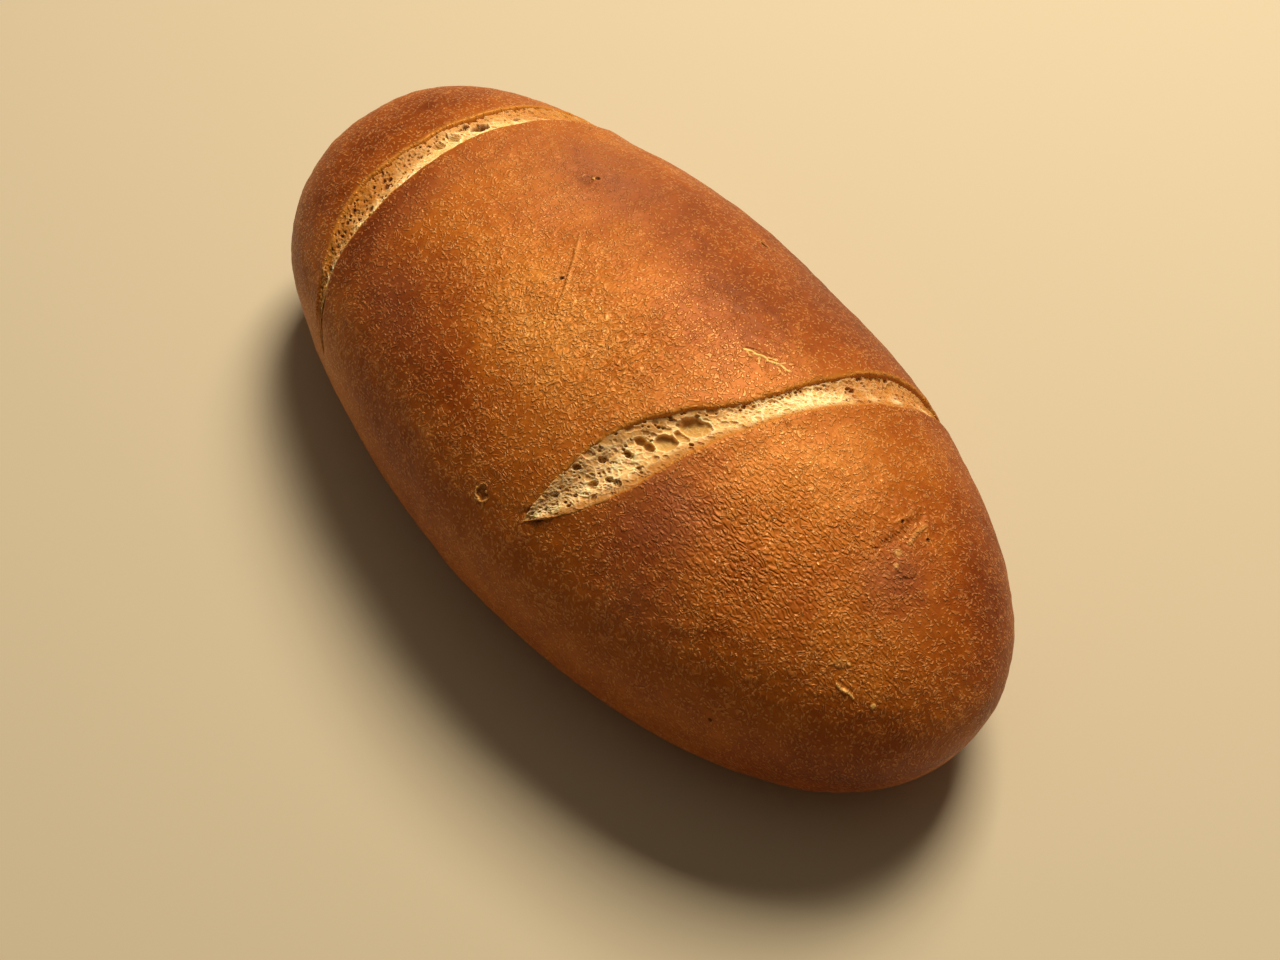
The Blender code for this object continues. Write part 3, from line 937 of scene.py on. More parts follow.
# Line marks: points as x and y, half width, height (minus for a groove), pale share (pale split and
# flakes, a painted highlight on low ridges), dark share (painted shade in grooves and creases)
LINE_MARKS = (
    (((5.4, -60.3), (6.1, -61.5)), 0.25, 0.25, 0.60, 0.0),
    (
        (
            (-33.6, 7.6), (-30.2, 3.6), (-26.9, -0.4), (-24.2, -4.2),
            (-21.6, -7.3), (-19.2, -11.4), (-16.4, -15.0),
        ),
        0.60, 0.27, 0.12, 0.0,
    ),
    (((-30.8, 2.4), (-27.9, -0.8), (-25.2, -4.6), (-22.7, -7.6), (-20.4, -11.6)), 0.45, -0.32, 0.0, 0.16),
    (((25.8, 15.4), (27.6, 16.9), (29.2, 17.0), (31.4, 18.6)), 0.42, 0.14, 1.0, 0.0),
    (((28.6, 16.6), (30.8, 18.4), (32.4, 18.5), (34.6, 20.2)), 0.38, 0.17, 0.95, 0.0),
    (((33.2, 18.9), (35.6, 20.6), (37.2, 20.7), (40.2, 22.8)), 0.38, 0.14, 1.0, 0.0),
    (((27.0, 15.6), (28.8, 15.4)), 0.30, 0.10, 0.60, 0.0),
    (((29.8, 17.6), (31.4, 16.0)), 0.30, 0.10, 0.70, 0.0),
    (((31.6, 19.4), (33.4, 20.8)), 0.32, 0.12, 0.80, 0.0),
    (((35.4, 19.2), (37.4, 19.0)), 0.28, 0.10, 0.60, 0.0),
    (((34.6, 20.2), (35.4, 22.0)), 0.30, 0.10, 0.70, 0.0),
    (((26.0, 16.6), (29.6, 19.2), (33.4, 20.6)), 0.35, -0.20, 0.0, 0.15),
    (((88.4, 25.0), (89.6, 21.0), (89.2, 17.8), (90.4, 13.6), (89.5, 8.5)), 1.30, -0.40, 0.0, 0.12),
    (((86.6, 22.4), (87.4, 18.6), (86.9, 14.8)), 0.60, 0.20, 0.10, 0.0),
    (((91.8, 22.0), (92.0, 18.0), (93.2, 13.8)), 0.70, 0.30, 0.22, 0.0),
    (((90.4, 27.2), (92.3, 28.4)), 0.35, -0.35, 0.0, 0.45),
    (((88.6, 4.4), (89.4, 5.8)), 0.35, -0.35, 0.0, 0.50),
    (((106.9, -24.5), (108.3, -24.3), (109.4, -23.6)), 0.42, 0.35, 0.80, 0.0),
    (((109.0, -24.0), (110.4, -23.2), (111.9, -23.0)), 0.32, 0.30, 0.80, 0.0),
    (((106.6, -23.6), (108.6, -23.0), (110.6, -22.4)), 0.30, -0.14, 0.0, 0.25),
)


def segment_distance(points, start, end):
    """Distance of points from a segment, both in x and y."""
    start = np.array(start) * MM
    way = np.array(end) * MM - start
    at = points[..., :2] - start
    share = np.clip((at @ way) / (way @ way), 0.0, 1.0)
    return np.linalg.norm(at - share[..., None] * way, axis=-1)


# A round mark falls off from its middle, in radii: bowl, rim and dark middle, which is painted shade
BOWL_EDGE = 1.25
BOWL_FADE = 0.6
RIM_WIDTH = 0.12
OPEN_SIDE_CUT = 0.9
OPEN_SIDE_FADE = 0.8
DARK_EDGE = 1.18
DARK_FADE = 0.35
LINE_EDGE = 1.3
MARK_RAGGED_CELL = 1.4 * MM
MARK_RAGGED = 0.30


def round_mark(skin, ragged, x, y, radius, depth, rim, pale, dark, open_side):
    """Height, pale share with painted glints and dark share with painted shade, of a pit or a bump at points
    of the skin.
    """
    here, at = skin_place(x, y)
    offset = skin - smooth_skin(np.array(here), np.array(at))
    away = np.linalg.norm(offset, axis=-1) / (radius * MM) * ragged
    bowl = ease((BOWL_EDGE - away) / BOWL_FADE)
    ring = np.exp(-((away - BOWL_EDGE) / RIM_WIDTH) ** 2)
    if open_side is not None:
        side = np.arctan2(offset[..., 1], offset[..., 0]) - math.radians(open_side)
        ring = ring * (1.0 - OPEN_SIDE_CUT * ease(np.cos(side) / OPEN_SIDE_FADE))
    pale_glint_area = ring if depth > 0.0 else bowl
    return (rim * ring - depth * bowl) * MM, pale * pale_glint_area, dark * ease((DARK_EDGE - away) / DARK_FADE)


def line_mark(skin, ragged, points, half_width, rise, pale, dark):
    """Height, pale share with painted highlight and dark share with painted shade, of a ridge or a groove at
    points of the skin.
    """
    away = np.full(skin.shape[:-1], 1.0)
    for start, end in zip(points[:-1], points[1:]):
        away = np.minimum(away, segment_distance(skin, start, end))
    line = ease(LINE_EDGE - away / (half_width * MM) * ragged)
    return rise * MM * line, pale * line, dark * line


def mark_values(skin):
    """Height, pale share with painted glints and dark share with painted shade, of all marks at points of the
    skin.
    """
    ragged = 1.0 + MARK_RAGGED * lattice_noise(skin, MARK_RAGGED_CELL, 71)
    marks = [round_mark(skin, ragged, *mark) for mark in ROUND_MARKS]
    marks += [line_mark(skin, ragged, *mark) for mark in LINE_MARKS]
    rises, pale_glints, dark_shades = zip(*marks)
    return sum(rises), np.maximum.reduce(pale_glints), np.maximum.reduce(dark_shades)


# A patch of finer skin: its grid reaches past its edge, its marks fade out inside that,
# and its rim dips under the coarse skin
GRID_REACH = 1.1
MARKS_END = 0.95
DIP_START = 0.98
PATCH_FADE = 0.2
DIP_DEPTH = 0.8 * MM


def crust_patch(name, patch):
    """A finer patch of the crust with its marks; the patch holds its place and reaches."""
    x, y, reach_along, reach_across = patch
    here, at = skin_place(x, y)
    rows = int(2.0 * GRID_REACH * reach_along * MM / PATCH_STEP)
    columns = int(2.0 * GRID_REACH * reach_across * MM / PATCH_STEP)
    along = np.linspace(-GRID_REACH, GRID_REACH, rows)[:, None] * reach_along * MM
    across = np.linspace(-GRID_REACH, GRID_REACH, columns) * reach_across * MM / around_rate(here, at)
    travel = np.broadcast_to(here + along, (rows, columns))
    angle = np.broadcast_to(at + across, (rows, columns))
    edge = patch_share(travel, angle, patch)
    height, pale_glint_share, dark_shade_share = mark_values(smooth_skin(travel, angle))
    inside = ease((MARKS_END - edge) / PATCH_FADE)
    lift = height * inside + PATCH_LIFT - DIP_DEPTH * ease((edge - DIP_START) / PATCH_FADE)
    points = crust_surface(travel, angle, lift, False)
    values = crust_colours(points, travel, angle)
    values["pale"] = pale_glint_share * inside
    values["dark"] = dark_shade_share * inside
    piece = mesh_piece(name, points.reshape(-1, 3), (grid_faces(rows, columns, False),), values)
    piece.data.materials.append(crust_material)
    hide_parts("loaf")
    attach(piece, "root")


for name, patch in PATCHES.items():
    crust_patch(name, patch)

# The crumb that shows in the two slashes: torn open, moist wheat crumb full of round
# cells left by the gas of the yeast, toasted under the far lips.

# Spacing of the crumb's grid, and how far the crumb reaches under each lip
CRUMB_STEP = 0.185 * MM
UNDER_LIP = 1.3 * MM

# Depth of the crumb as a share of the deepest, from the far lip to the near one
FAR_BED = (
    (-0.15, 0.90), (0.0, 0.15), (0.14, 0.32), (0.35, 0.70), (0.60, 0.72),
    (0.85, 0.34), (0.96, 0.10), (1.0, 0.10), (1.12, 1.2),
)
NEAR_BED = (
    (-0.15, 0.90), (0.0, 0.16), (0.10, 0.42), (0.30, 0.90), (0.60, 0.75),
    (0.85, 0.34), (0.96, 0.10), (1.0, 0.10), (1.12, 1.2),
)

# Depth of the deepest crumb as a share of the slash's width, and below the smooth skin
CRUMB_DEPTH_SHARE = 0.155
CRUMB_SINK = 0.25 * MM

# Large cells: x, y, half length along the slash, half width, depth, grey share, and dark share of burnt crumb
# and painted shade
FAR_CELLS = (
    (-93.4, 12.0, 1.1, 1.0, 2.6, 0.0, 1.0),
    (-90.2, 15.2, 3.4, 1.7, 2.8, 0.0, 1.0),
    (-92.0, 6.5, 2.2, 2.0, 0.9, 1.0, 0.30),
    (-92.2, 1.2, 2.0, 1.9, 0.9, 1.0, 0.30),
    (-92.1, -19.5, 1.5, 1.2, 1.3, 0.8, 0.45),
    (-93.5, -16.9, 0.9, 0.8, 2.0, 0.1, 1.0),
    (-89.5, -27.6, 1.5, 1.0, 1.0, 0.8, 0.35),
    (-93.0, 32.4, 1.0, 0.7, 1.8, 0.0, 0.9),
    (-92.2, 35.0, 0.8, 0.6, 1.6, 0.0, 0.9),
    (-85.1, 34.0, 0.9, 0.8, 1.5, 0.1, 0.8),
    (-87.8, 26.9, 0.6, 0.6, 1.0, 0.1, 0.5),
    (-94.9, 23.3, 0.7, 0.6, 1.4, 0.0, 0.8),
    (-99.5, -11.8, 0.9, 0.7, 1.6, 0.0, 0.9),
    (-98.5, -7.2, 0.8, 0.6, 1.6, 0.0, 0.9),
    (-97.1, -29.2, 0.8, 0.7, 1.5, 0.0, 0.9),
    (-94.3, -30.4, 1.0, 0.7, 1.5, 0.0, 0.9),
    (-93.0, -34.2, 0.8, 0.6, 1.2, 0.0, 0.8),
    (-90.2, -39.3, 0.7, 0.5, 1.0, 0.0, 0.8),
    (-98.3, -18.4, 0.9, 0.7, 1.5, 0.0, 0.9),
)
NEAR_CELLS = (
    (34.8, -10.0, 4.0, 3.7, 1.7, 0.55, 0.40),
    (32.8, -18.8, 3.1, 3.0, 1.6, 0.65, 0.42),
    (34.4, -14.4, 1.5, 2.4, 1.4, 0.55, 0.35),
    (28.2, -28.1, 1.1, 1.7, 2.2, 0.6, 0.50),
    (24.1, -34.0, 1.2, 1.1, 1.8, 0.6, 0.50),
    (20.6, -39.8, 1.3, 1.0, 1.4, 0.6, 0.45),
    (30.2, -22.8, 1.5, 2.0, 2.3, 0.6, 0.55),
    (27.8, -23.4, 1.5, 1.6, 1.8, 0.6, 0.45),
    (31.9, -35.1, 1.2, 1.5, 1.6, 0.7, 0.30),
    (29.5, -36.2, 1.3, 1.2, 1.6, 0.5, 0.30),
    (33.0, -28.8, 1.0, 0.9, 1.2, 0.6, 0.30),
    (27.0, -40.1, 1.6, 1.4, 1.2, 0.6, 0.15),
    (21.2, -48.1, 0.8, 0.7, 1.0, 0.1, 0.60),
    (25.5, -44.7, 0.7, 0.6, 1.0, 0.1, 0.60),
    (38.0, -14.2, 0.6, 0.7, 1.0, 0.1, 0.70),
    (48.6, 38.9, 1.3, 0.9, 1.6, 0.0, 0.85),
    (51.5, 47.5, 1.1, 0.7, 1.4, 0.0, 0.85),
    (50.4, 33.8, 1.6, 1.1, 1.8, 0.2, 0.75),
    (46.2, 27.6, 0.5, 0.5, 1.0, 0.0, 0.7),
    (46.2, 25.6, 0.7, 0.5, 0.9, 0.1, 0.6),
    (40.9, 11.6, 0.8, 0.5, 1.0, 0.0, 0.7),
    (38.7, 5.4, 0.9, 0.5, 1.1, 0.0, 0.7),
    (53.9, 40.2, 0.6, 0.5, 0.9, 0.0, 0.6),
)

# Toasting: angle in degrees, how far it reaches from the far lip, how strong it is
FAR_TOAST = (
    (-88, 1.3, 1.0), (-66, 1.3, 1.0), (-50, 1.00, 1.0), (-30, 0.95, 1.0), (-16, 0.85, 0.95),
    (-4, 0.50, 0.75), (8, 0.38, 0.60), (20, 0.60, 0.75), (40, 0.95, 0.95), (84, 1.1, 1.0),
)
NEAR_TOAST = (
    (-53, 0.90, 0.60), (-20, 0.45, 0.50), (5, 0.22, 0.5), (20, 0.30, 0.6), (32, 1.2, 0.85), (89, 1.6, 1.0),
)

# Scattered pores: how many, smallest and largest radius in mm, depth share, darkness of painted shade in the
# pore
FAR_PORES = ((150, 0.50, 0.95, 0.45, 0.05), (700, 0.26, 0.50, 0.50, 0.12), (1200, 0.16, 0.27, 0.7, 0.16))
NEAR_PORES = ((260, 0.60, 1.25, 0.40, 0.05), (520, 0.28, 0.60, 0.42, 0.12), (500, 0.18, 0.28, 0.6, 0.20))
PORE_STRETCH = (0.75, 1.6)
PORE_DEPTH = (0.6, 1.3)
PORE_SHARPNESS = 2.0
CELL_SHARPNESS = 2.6

# A cell falls off from its middle, in half widths: how round its bowl is, its pale ring with a painted
# highlight, how its grey wall and its dark hole of burnt crumb and painted shade fade, and which side of a
# grey one is in the dark, as painted shadow
CELL_ROUNDNESS = 1.0 / 2.2
CELL_REACH = 1.6
RING_PLACE = 1.05
RING_WIDTH = 0.13
FULL_RING_RADIUS = 0.9 * MM
INSIDE_EDGE = 1.02
INSIDE_FADE = 0.25
GREY_FADE = 0.5
HOLE_FADE = 0.15
SHADED_SLOPE = 0.55
SHADED_START = 0.05
RAGGED_CELL = 1.3 * MM
CELL_RAGGED = 0.14

# Pores burnt dark where the crumb is toasted: radius in mm, stretch, darkness, depth
BURNT_RADIUS = (0.24, 0.55)
BURNT_STRETCH = (0.8, 1.5)
BURNT_DARKNESS = (0.35, 0.9)
BURNT_DEPTH = 0.9 * MM

# Threads of dough torn across the slash: half length and half thickness in mm, and bend
THREAD_REACH = (1.0, 3.0)
THREAD_THICK = (0.18, 0.32)
THREAD_BEND = 0.9
THREAD_STEPS = 36

# Relief of the torn crumb: threads, rims of cells, a net of fine walls, grain and swells
THREAD_HEIGHT = 0.22 * MM
RIM_HEIGHT = 0.13 * MM
NET_HEIGHT = 0.10 * MM
NET_CELL = 1.5 * MM
NET_WALL = 0.16
NET_PATCH_CELL = 3.0 * MM
NET_PATCH_START = 0.6
GRAIN_NOISE = (0.6 * MM, 0.06 * MM)
SWELL_NOISE = (4.0 * MM, 0.35 * MM)
BRIDGED_CARVE = 0.55
BRIDGED_HOLE = 0.8
# Carving this deep gets the full painted shade of a pit
FULL_PIT_SHADE_DEPTH = 1.5 * MM
FULL_RELIEF_WIDTH = 3.5 * MM
NEAR_LIP_SHARE = 1.04
NEAR_LIP_FADE = 0.12

# Toasting fades out raggedly, and a fringe of it follows the near lip
TOAST_CELL = 6.0 * MM
TOAST_RAGGED = 0.35
TOAST_FADE = 0.6
FRINGE_START = 0.66
FRINGE_FADE = 0.22

# The two slashes: strands are how many threads, from which angle to which, in degrees
SLASHES = {
    "crumb_far_slash": SimpleNamespace(
        points=FAR_SLASH, lip_seed=FAR_SEED, seed=101, bed=FAR_BED, cells=FAR_CELLS, toast=FAR_TOAST,
        fringe=0.0, strands=((90, -60.0, 60.0),), pores=FAR_PORES, burnt_pores=420,
    ),
    "crumb_near_slash": SimpleNamespace(
        points=NEAR_SLASH, lip_seed=NEAR_SEED, seed=202, bed=NEAR_BED, cells=NEAR_CELLS, toast=NEAR_TOAST,
        fringe=0.85, strands=((130, -50.0, -21.0), (150, 2.0, 62.0)), pores=NEAR_PORES, burnt_pores=150,
    ),
}


def crumb_grid(slash):
    """Places on a grid along and across a slash, with nothing pressed into them yet."""
    probe = np.linspace(math.radians(slash.points[0][0]), math.radians(slash.points[-1][0]), 600)
    spine = smooth_skin(travel_at(route(slash.points, probe)[0]), probe)
    way = np.concatenate(([0.0], np.cumsum(np.linalg.norm(np.diff(spine, axis=0), axis=1))))
    columns = np.linspace(0.0, way[-1], int(way[-1] / CRUMB_STEP))
    angles = np.interp(columns, way, probe)
    far_edge, near_edge, opening = slash_edges(slash.points, angles, slash.lip_seed)
    middle, width = route(slash.points, angles)
    far_edge = np.where(width > NARROWEST_BAND, far_edge, middle - width / 2.0)
    near_edge = np.where(width > NARROWEST_BAND, near_edge, middle + width / 2.0)
    start = far_edge - UNDER_LIP * opening
    steps = np.linspace(0.0, 1.0, int((width.max() + 2.0 * UNDER_LIP) / CRUMB_STEP))[:, None]
    x = start + (near_edge + UNDER_LIP * opening - start) * steps
    travel = travel_at(x)
    angle = np.broadcast_to(angles, travel.shape)
    grid = SimpleNamespace(columns=columns, angles=angles, travel=travel, angle=angle, width=width)
    grid.opening = opening
    grid.half = np.interp(columns, way, np.interp(way, columns, width)) / 2.0
    grid.share = (x - far_edge) / np.maximum(near_edge - far_edge, 1e-4)
    grid.along = np.broadcast_to(columns, travel.shape)
    grid.across = x - middle
    grid.skin = smooth_skin(travel, angle)
    grid.ragged = 1.0 + CELL_RAGGED * lattice_noise(grid.skin, RAGGED_CELL, slash.seed + 8)
    for layer in ("carve", "rim", "grey", "hole", "threads"):
        setattr(grid, layer, np.zeros(travel.shape))
    return grid


def columns_near(grid, a, reach):
    """The columns of the grid within reach of a way along the slash."""
    step = grid.columns[1]
    first = max(int((a - reach) / step), 0)
    return slice(first, min(int((a + reach) / step) + 2, len(grid.columns)))


def press_cell(grid, place, halves, sink, grey, dark, sharpness):
    """Presses one gas cell into the crumb; it takes the place of what was there."""
    near = columns_near(grid, place[0], CELL_REACH * halves[0])
    u = (grid.along[:, near] - place[0]) / halves[0]
    v = (grid.across[:, near] - place[1]) / halves[1]
    away = np.sqrt(u * u + v * v) * grid.ragged[:, near]
    bowl = sink * np.clip(1.0 - away**sharpness, 0.0, 1.0) ** CELL_ROUNDNESS
    grid.carve[:, near] = np.maximum(grid.carve[:, near], bowl)
    ring = np.exp(-((away - RING_PLACE) / RING_WIDTH) ** 2) * min(halves[1] / FULL_RING_RADIUS, 1.0)
    grid.rim[:, near] = np.maximum(grid.rim[:, near] * (away > 1.0), ring)
    inside = ease((INSIDE_EDGE - away) / INSIDE_FADE)
    greyness = grey * ease((1.0 - away) / GREY_FADE) * inside
    grid.grey[:, near] = grid.grey[:, near] * (1.0 - inside) + greyness
    shaded = ease((SHADED_SLOPE * u - v - SHADED_START) / SHADED_SLOPE) if grey > 0.5 else 1.0
    darkness = dark * shaded * ease((1.0 - away) / HOLE_FADE) * inside
    grid.hole[:, near] = grid.hole[:, near] * (1.0 - inside) + darkness


def scatter_pores(grid, rng, slash):
    """Presses the small pores into the crumb, first the pale ones and then the burnt."""
    end = grid.columns[-1]
    for amount, smallest, largest, depth_share, darkest in slash.pores:
        for _ in range(amount):
            a = rng.uniform(0.0, end)
            half = np.interp(a, grid.columns, grid.half)
            b = rng.uniform(-half, half)
            radius = rng.uniform(smallest, largest) * MM
            halves = (radius * rng.uniform(*PORE_STRETCH), radius)
            sink = radius * depth_share * rng.uniform(*PORE_DEPTH)
            press_cell(grid, (a, b), halves, sink, 0.0, darkest * rng.uniform(0.0, 1.0), PORE_SHARPNESS)
    toast_angles, toast_reaches, _ = np.array(slash.toast).T
    for _ in range(slash.burnt_pores):
        a = rng.uniform(0.0, end)
        half = np.interp(a, grid.columns, grid.half)
        toasted = np.interp(np.interp(a, grid.columns, np.degrees(grid.angles)), toast_angles, toast_reaches)
        b = half * (2.0 * toasted * rng.uniform(0.0, 1.0) - 1.0)
        radius = rng.uniform(*BURNT_RADIUS) * MM
        halves = (radius * rng.uniform(*BURNT_STRETCH), radius)
        press_cell(grid, (a, b), halves, BURNT_DEPTH, 0.0, rng.uniform(*BURNT_DARKNESS), PORE_SHARPNESS)


def press_large_cells(grid, cells):
    for x, y, long_half, short_half, depth, grey, dark in cells:
        away = (grid.skin[..., 0] - x * MM) ** 2 + (grid.skin[..., 1] - y * MM) ** 2
        nearest = np.unravel_index(np.argmin(away), away.shape)
        place = (grid.along[nearest], grid.across[nearest])
        press_cell(grid, place, (long_half * MM, short_half * MM), depth * MM, grey, dark, CELL_SHARPNESS)


def draw_thread(grid, rng, low, high):
    """Draws one bent thread of dough across the cells between two angles."""
    a = np.interp(math.radians(rng.uniform(low, high)), grid.angles, grid.columns)
    half = np.interp(a, grid.columns, grid.half)
    b = rng.uniform(-0.9 * half, 0.85 * half)
    turned = rng.uniform(0.0, math.pi)
    reach = rng.uniform(*THREAD_REACH) * MM
    bend = rng.uniform(-THREAD_BEND, THREAD_BEND) * reach
    thick = rng.uniform(*THREAD_THICK) * MM
    for step in np.linspace(-1.0, 1.0, THREAD_STEPS):
        arch = bend * (1.0 - step * step)
        u = a + step * reach * math.cos(turned) - arch * math.sin(turned)
        v = b + step * reach * math.sin(turned) + arch * math.cos(turned)
        near = columns_near(grid, u, 3.0 * thick)
        off = ((grid.along[:, near] - u) ** 2 + (grid.across[:, near] - v) ** 2) / thick**2
        drawn = np.exp(-off) * (1.0 - 0.5 * step * step)
        grid.threads[:, near] = np.maximum(grid.threads[:, near], drawn)


def toasting(grid, slash):
    """How toasted the crumb is: from the far lip on, and in a fringe at the near one."""
    toast_angles, toast_reaches, toast_strengths = np.array(slash.toast).T
    reach = np.interp(np.degrees(grid.angles), toast_angles, toast_reaches)
    strength = np.interp(np.degrees(grid.angles), toast_angles, toast_strengths)
    ragged = 1.0 + TOAST_RAGGED * lattice_noise(grid.skin, TOAST_CELL, slash.seed + 7)
    toast = strength * ease((ragged - grid.share / reach) / TOAST_FADE)
    fringe = slash.fringe * ease((grid.share - FRINGE_START) / FRINGE_FADE)
    return np.clip(toast + fringe, 0.0, 1.0)


def crumb_patch(name, slash):
    """The crumb of one slash as a mesh."""
    rng = np.random.default_rng(slash.seed)
    grid = crumb_grid(slash)
    scatter_pores(grid, rng, slash)
    press_large_cells(grid, slash.cells)
    for amount, low, high in slash.strands:
        for _ in range(amount):
            draw_thread(grid, rng, low, high)
    net = 1.0 - np.clip(np.abs(lattice_noise(grid.skin, NET_CELL, slash.seed + 3)) / NET_WALL, 0.0, 1.0)
    net *= np.clip(NET_PATCH_START + lattice_noise(grid.skin, NET_PATCH_CELL, slash.seed + 5), 0.0, 1.0)
    grain = lattice_noise(grid.skin, GRAIN_NOISE[0], slash.seed + 4) * GRAIN_NOISE[1]
    swells = lattice_noise(grid.skin, SWELL_NOISE[0], slash.seed + 6) * SWELL_NOISE[1]
    fade = ease(grid.width / FULL_RELIEF_WIDTH) * ease((NEAR_LIP_SHARE - grid.share) / NEAR_LIP_FADE)
    carve = grid.carve * (1.0 - BRIDGED_CARVE * grid.threads)
    hole = grid.hole * (1.0 - BRIDGED_HOLE * grid.threads)
    profile = np.interp(grid.share, *np.array(slash.bed).T)
    bed = -(CRUMB_SINK * grid.opening + CRUMB_DEPTH_SHARE * grid.width * profile)
    raised = RIM_HEIGHT * grid.rim + NET_HEIGHT * net * (1.0 - 0.7 * hole) + THREAD_HEIGHT * grid.threads
    height = bed + (raised - carve + (grain + swells)) * fade
    surface = grid.skin + outward_at(grid.travel, grid.angle) * height[..., None]
    surface[..., 1] += Y_SHIFT
    values = {
        # Darker where the crumb is carved deeper: painted shade in the pits
        "pit_shade": np.clip(carve / FULL_PIT_SHADE_DEPTH, 0.0, 1.0),
        # Pale on the net of walls, the rims of cells and the threads: partly pale dough, partly painted
        # highlight
        "strand_and_highlight": np.clip(net * 0.6 + grid.rim * 0.6 + grid.threads, 0.0, 1.0) * fade,
        "toast": toasting(grid, slash),
        "grey": grid.grey * fade,
        "hole": hole * fade,
    }
    return mesh_piece(name, surface.reshape(-1, 3), (grid_faces(*fade.shape, False),), values)


CRUMB_BASE = "#EBB56B"
CRUMB_GRAINS = ((0.35, "#E2A457"), (0.52, CRUMB_BASE), (0.68, "#F4CA8C"))
# Painted shade in the pits of the crumb
CRUMB_PIT_SHADE = "#CC8E3A"
# Pale dough of walls and threads, with a painted highlight
CRUMB_STRAND_HIGHLIGHT = "#F8DEA4"
CRUMB_GREY = "#B98F4E"
CRUMB_TOAST = "#AC6416"
# Dark in the cells and pores: burnt crumb, and painted shade
CRUMB_HOLE_SHADE_AND_BURN = "#6B3A12"
CRUMB_LAYERS = ("pit_shade", "strand_and_highlight", "toast", "grey", "hole")

# The grain of the cell walls is finer than a render shows, and is drawn 1 mm coarse
WALL_GRAIN = 1.0 * MM
TOAST_SPOT = 3.0 * MM

crumb_material, tree = blank_material("wheat_crumb")
place = add(tree, "TexCoord", {}).outputs["Object"]
layers = layers_of(tree, CRUMB_LAYERS)
grain = add(tree, "TexNoise", {"Vector": place, "Scale": 1.0 / WALL_GRAIN, "Detail": 3.0, "Roughness": 0.6})
spots = add(tree, "TexNoise", {"Vector": place, "Scale": 1.0 / TOAST_SPOT, "Detail": 3.0})
spots = add(tree, "MapRange", {"Value": spots, "From Min": 0.3, "From Max": 0.7, "To Min": 0.80})
crumb = coated(
    tree,
    set_steps(add(tree, "ValToRGB", {"Fac": grain}), CRUMB_GRAINS),
    (layers["pit_shade"], CRUMB_PIT_SHADE),
    (layers["strand_and_highlight"], CRUMB_STRAND_HIGHLIGHT),
    (layers["grey"], CRUMB_GREY),
    (product(tree, spots, layers["toast"]), CRUMB_TOAST),
    (layers["hole"], CRUMB_HOLE_SHADE_AND_BURN),
)
shader = add(
    tree,
    "BsdfPrincipled",
    {
        "Base Color": crumb,
        "Roughness": 0.6,
        "Specular IOR Level": 0.18,
        "Specular Tint": (1.0, 0.85, 0.6, 1.0),
        "Normal": add(tree, "Bump", {"Height": grain, "Distance": 0.16 * MM, "Strength": 0.6}),
        "Subsurface Weight": 0.45,
        "Subsurface Radius": (1.0, 0.6, 0.28),
        "Subsurface Scale": MM,
    },
)
add(tree, "OutputMaterial", {"Surface": shader})

for name, slash in SLASHES.items():
    piece = crumb_patch(name, slash)
    piece.data.materials.append(crumb_material)
    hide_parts("loaf")
    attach(piece, "root")

# The set: a plain pale floor, one soft key light from the upper right of the picture, a
# weak wide light from above, and the camera where the photograph was taken from.

FLOOR_COLOUR = "#C4B08E"
FLOOR_REACH = 30.0
floor_mesh = bpy.data.meshes.new("floor")
corners = [(-1.0, -1.0), (1.0, -1.0), (1.0, 1.0), (-1.0, 1.0)]
floor_mesh.from_pydata([(x * FLOOR_REACH, y * FLOOR_REACH, 0.0) for x, y in corners], [], [(0, 1, 2, 3)])
floor = bpy.data.objects.new("floor", floor_mesh)
bpy.context.scene.collection.objects.link(floor)
floor_material, tree = blank_material("pale_floor")
shader = add(tree, "BsdfPrincipled", {"Base Color": linear(FLOOR_COLOUR), "Roughness": 0.9})
add(tree, "OutputMaterial", {"Surface": shader})
floor_mesh.materials.append(floor_material)

LOAF_MIDDLE = Vector((0.0, 0.0, 0.04))

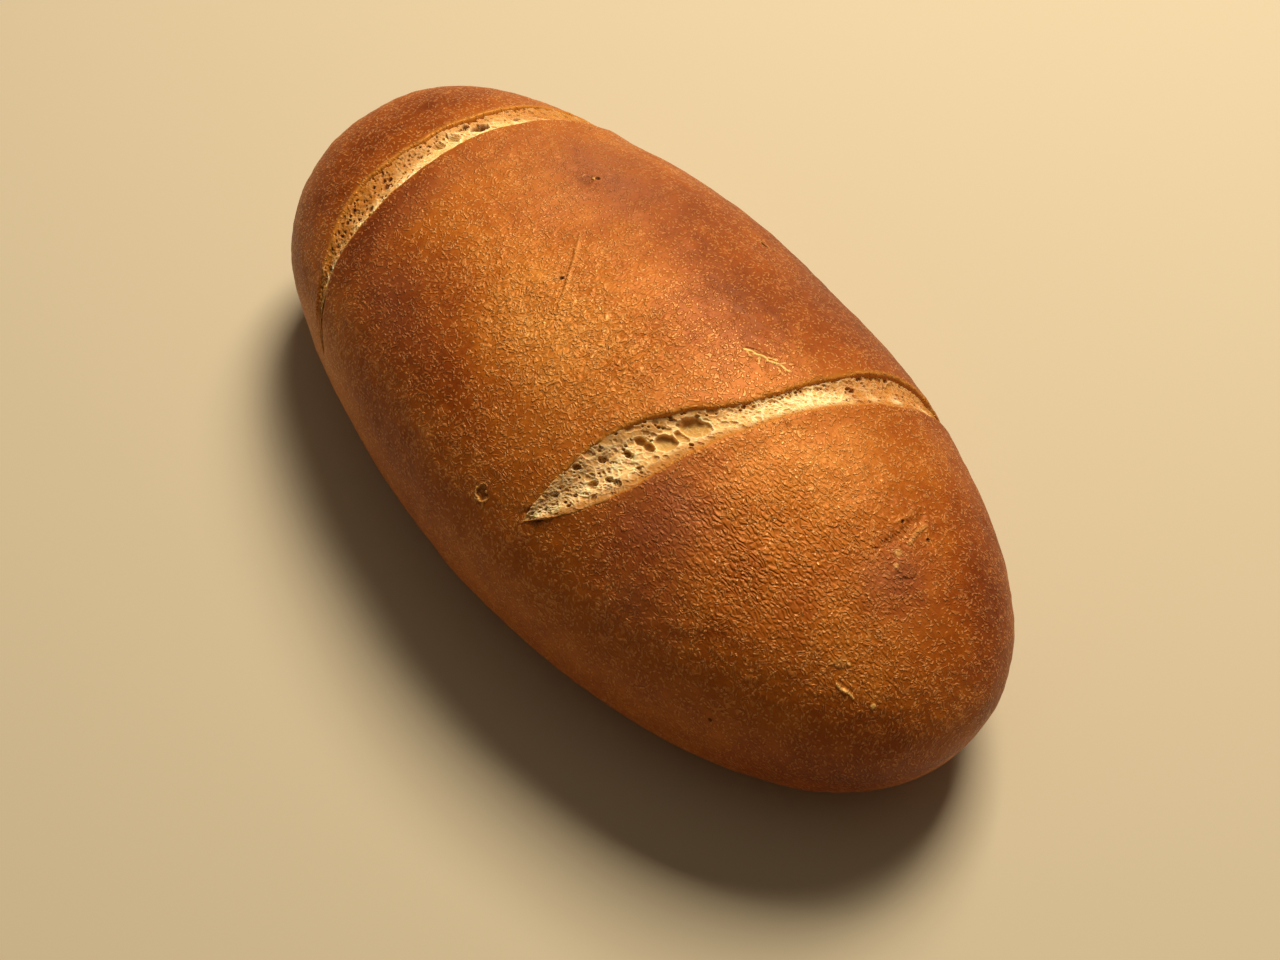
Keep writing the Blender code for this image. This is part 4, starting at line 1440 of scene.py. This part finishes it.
# Lights: direction from the loaf, distance and size in m, power in W, colour
LIGHTS = {
    "key": ((-0.236, 0.513, 0.825), 1.3, 0.50, 26.0, (1.0, 0.96, 0.85)),
    "overhead": ((0.0, -0.1, 1.0), 1.6, 1.4, 2.0, (1.0, 0.95, 0.88)),
}
ROOM_COLOUR = (1.0, 0.80, 0.55, 1.0)
ROOM_STRENGTH = 0.07


def soft_light(name, direction, distance, size, power, colour):
    """A square lamp that looks at the loaf."""
    lamp = bpy.data.lights.new(name, "AREA")
    lamp.size = size
    lamp.energy = power
    lamp.color = colour
    item = bpy.data.objects.new(name, lamp)
    item.location = LOAF_MIDDLE + Vector(direction).normalized() * distance
    item.rotation_euler = (LOAF_MIDDLE - item.location).to_track_quat("-Z", "Y").to_euler()
    bpy.context.scene.collection.objects.link(item)


for name, light in LIGHTS.items():
    soft_light(name, *light)

world = bpy.data.worlds.new("studio")
world.use_nodes = True
background = world.node_tree.nodes["Background"]
background.inputs["Color"].default_value = ROOM_COLOUR
background.inputs["Strength"].default_value = ROOM_STRENGTH
bpy.context.scene.world = world
bpy.context.scene.view_settings.view_transform = "Standard"

# The camera: focal length and picture width in pixels, place in m, heading and dip
PHOTO_WIDTH = 1280.0
FOCAL_PIXELS = 1800.0
CAMERA_PLACE = (0.209388, -0.179950 + Y_SHIFT, 0.497539)
CAMERA_HEADING = math.radians(49.202)
CAMERA_DIP = math.radians(61.0)
SENSOR = 36.0
camera_data = bpy.data.cameras.new("camera")
camera_data.sensor_width = SENSOR
camera_data.lens = SENSOR * FOCAL_PIXELS / PHOTO_WIDTH
camera_data.clip_start = 0.01
camera = bpy.data.objects.new("camera", camera_data)
right = np.array([math.cos(CAMERA_HEADING), math.sin(CAMERA_HEADING), 0.0])
away = np.array([-math.sin(CAMERA_HEADING), math.cos(CAMERA_HEADING), 0.0])
ahead = away * math.cos(CAMERA_DIP) - np.array([0.0, 0.0, math.sin(CAMERA_DIP)])
turn = np.eye(4)
turn[:3, 0] = right
turn[:3, 1] = np.cross(right, ahead)
turn[:3, 2] = -ahead
turn[:3, 3] = CAMERA_PLACE
camera.matrix_world = Matrix(turn.tolist())
bpy.context.scene.collection.objects.link(camera)
bpy.context.scene.camera = camera
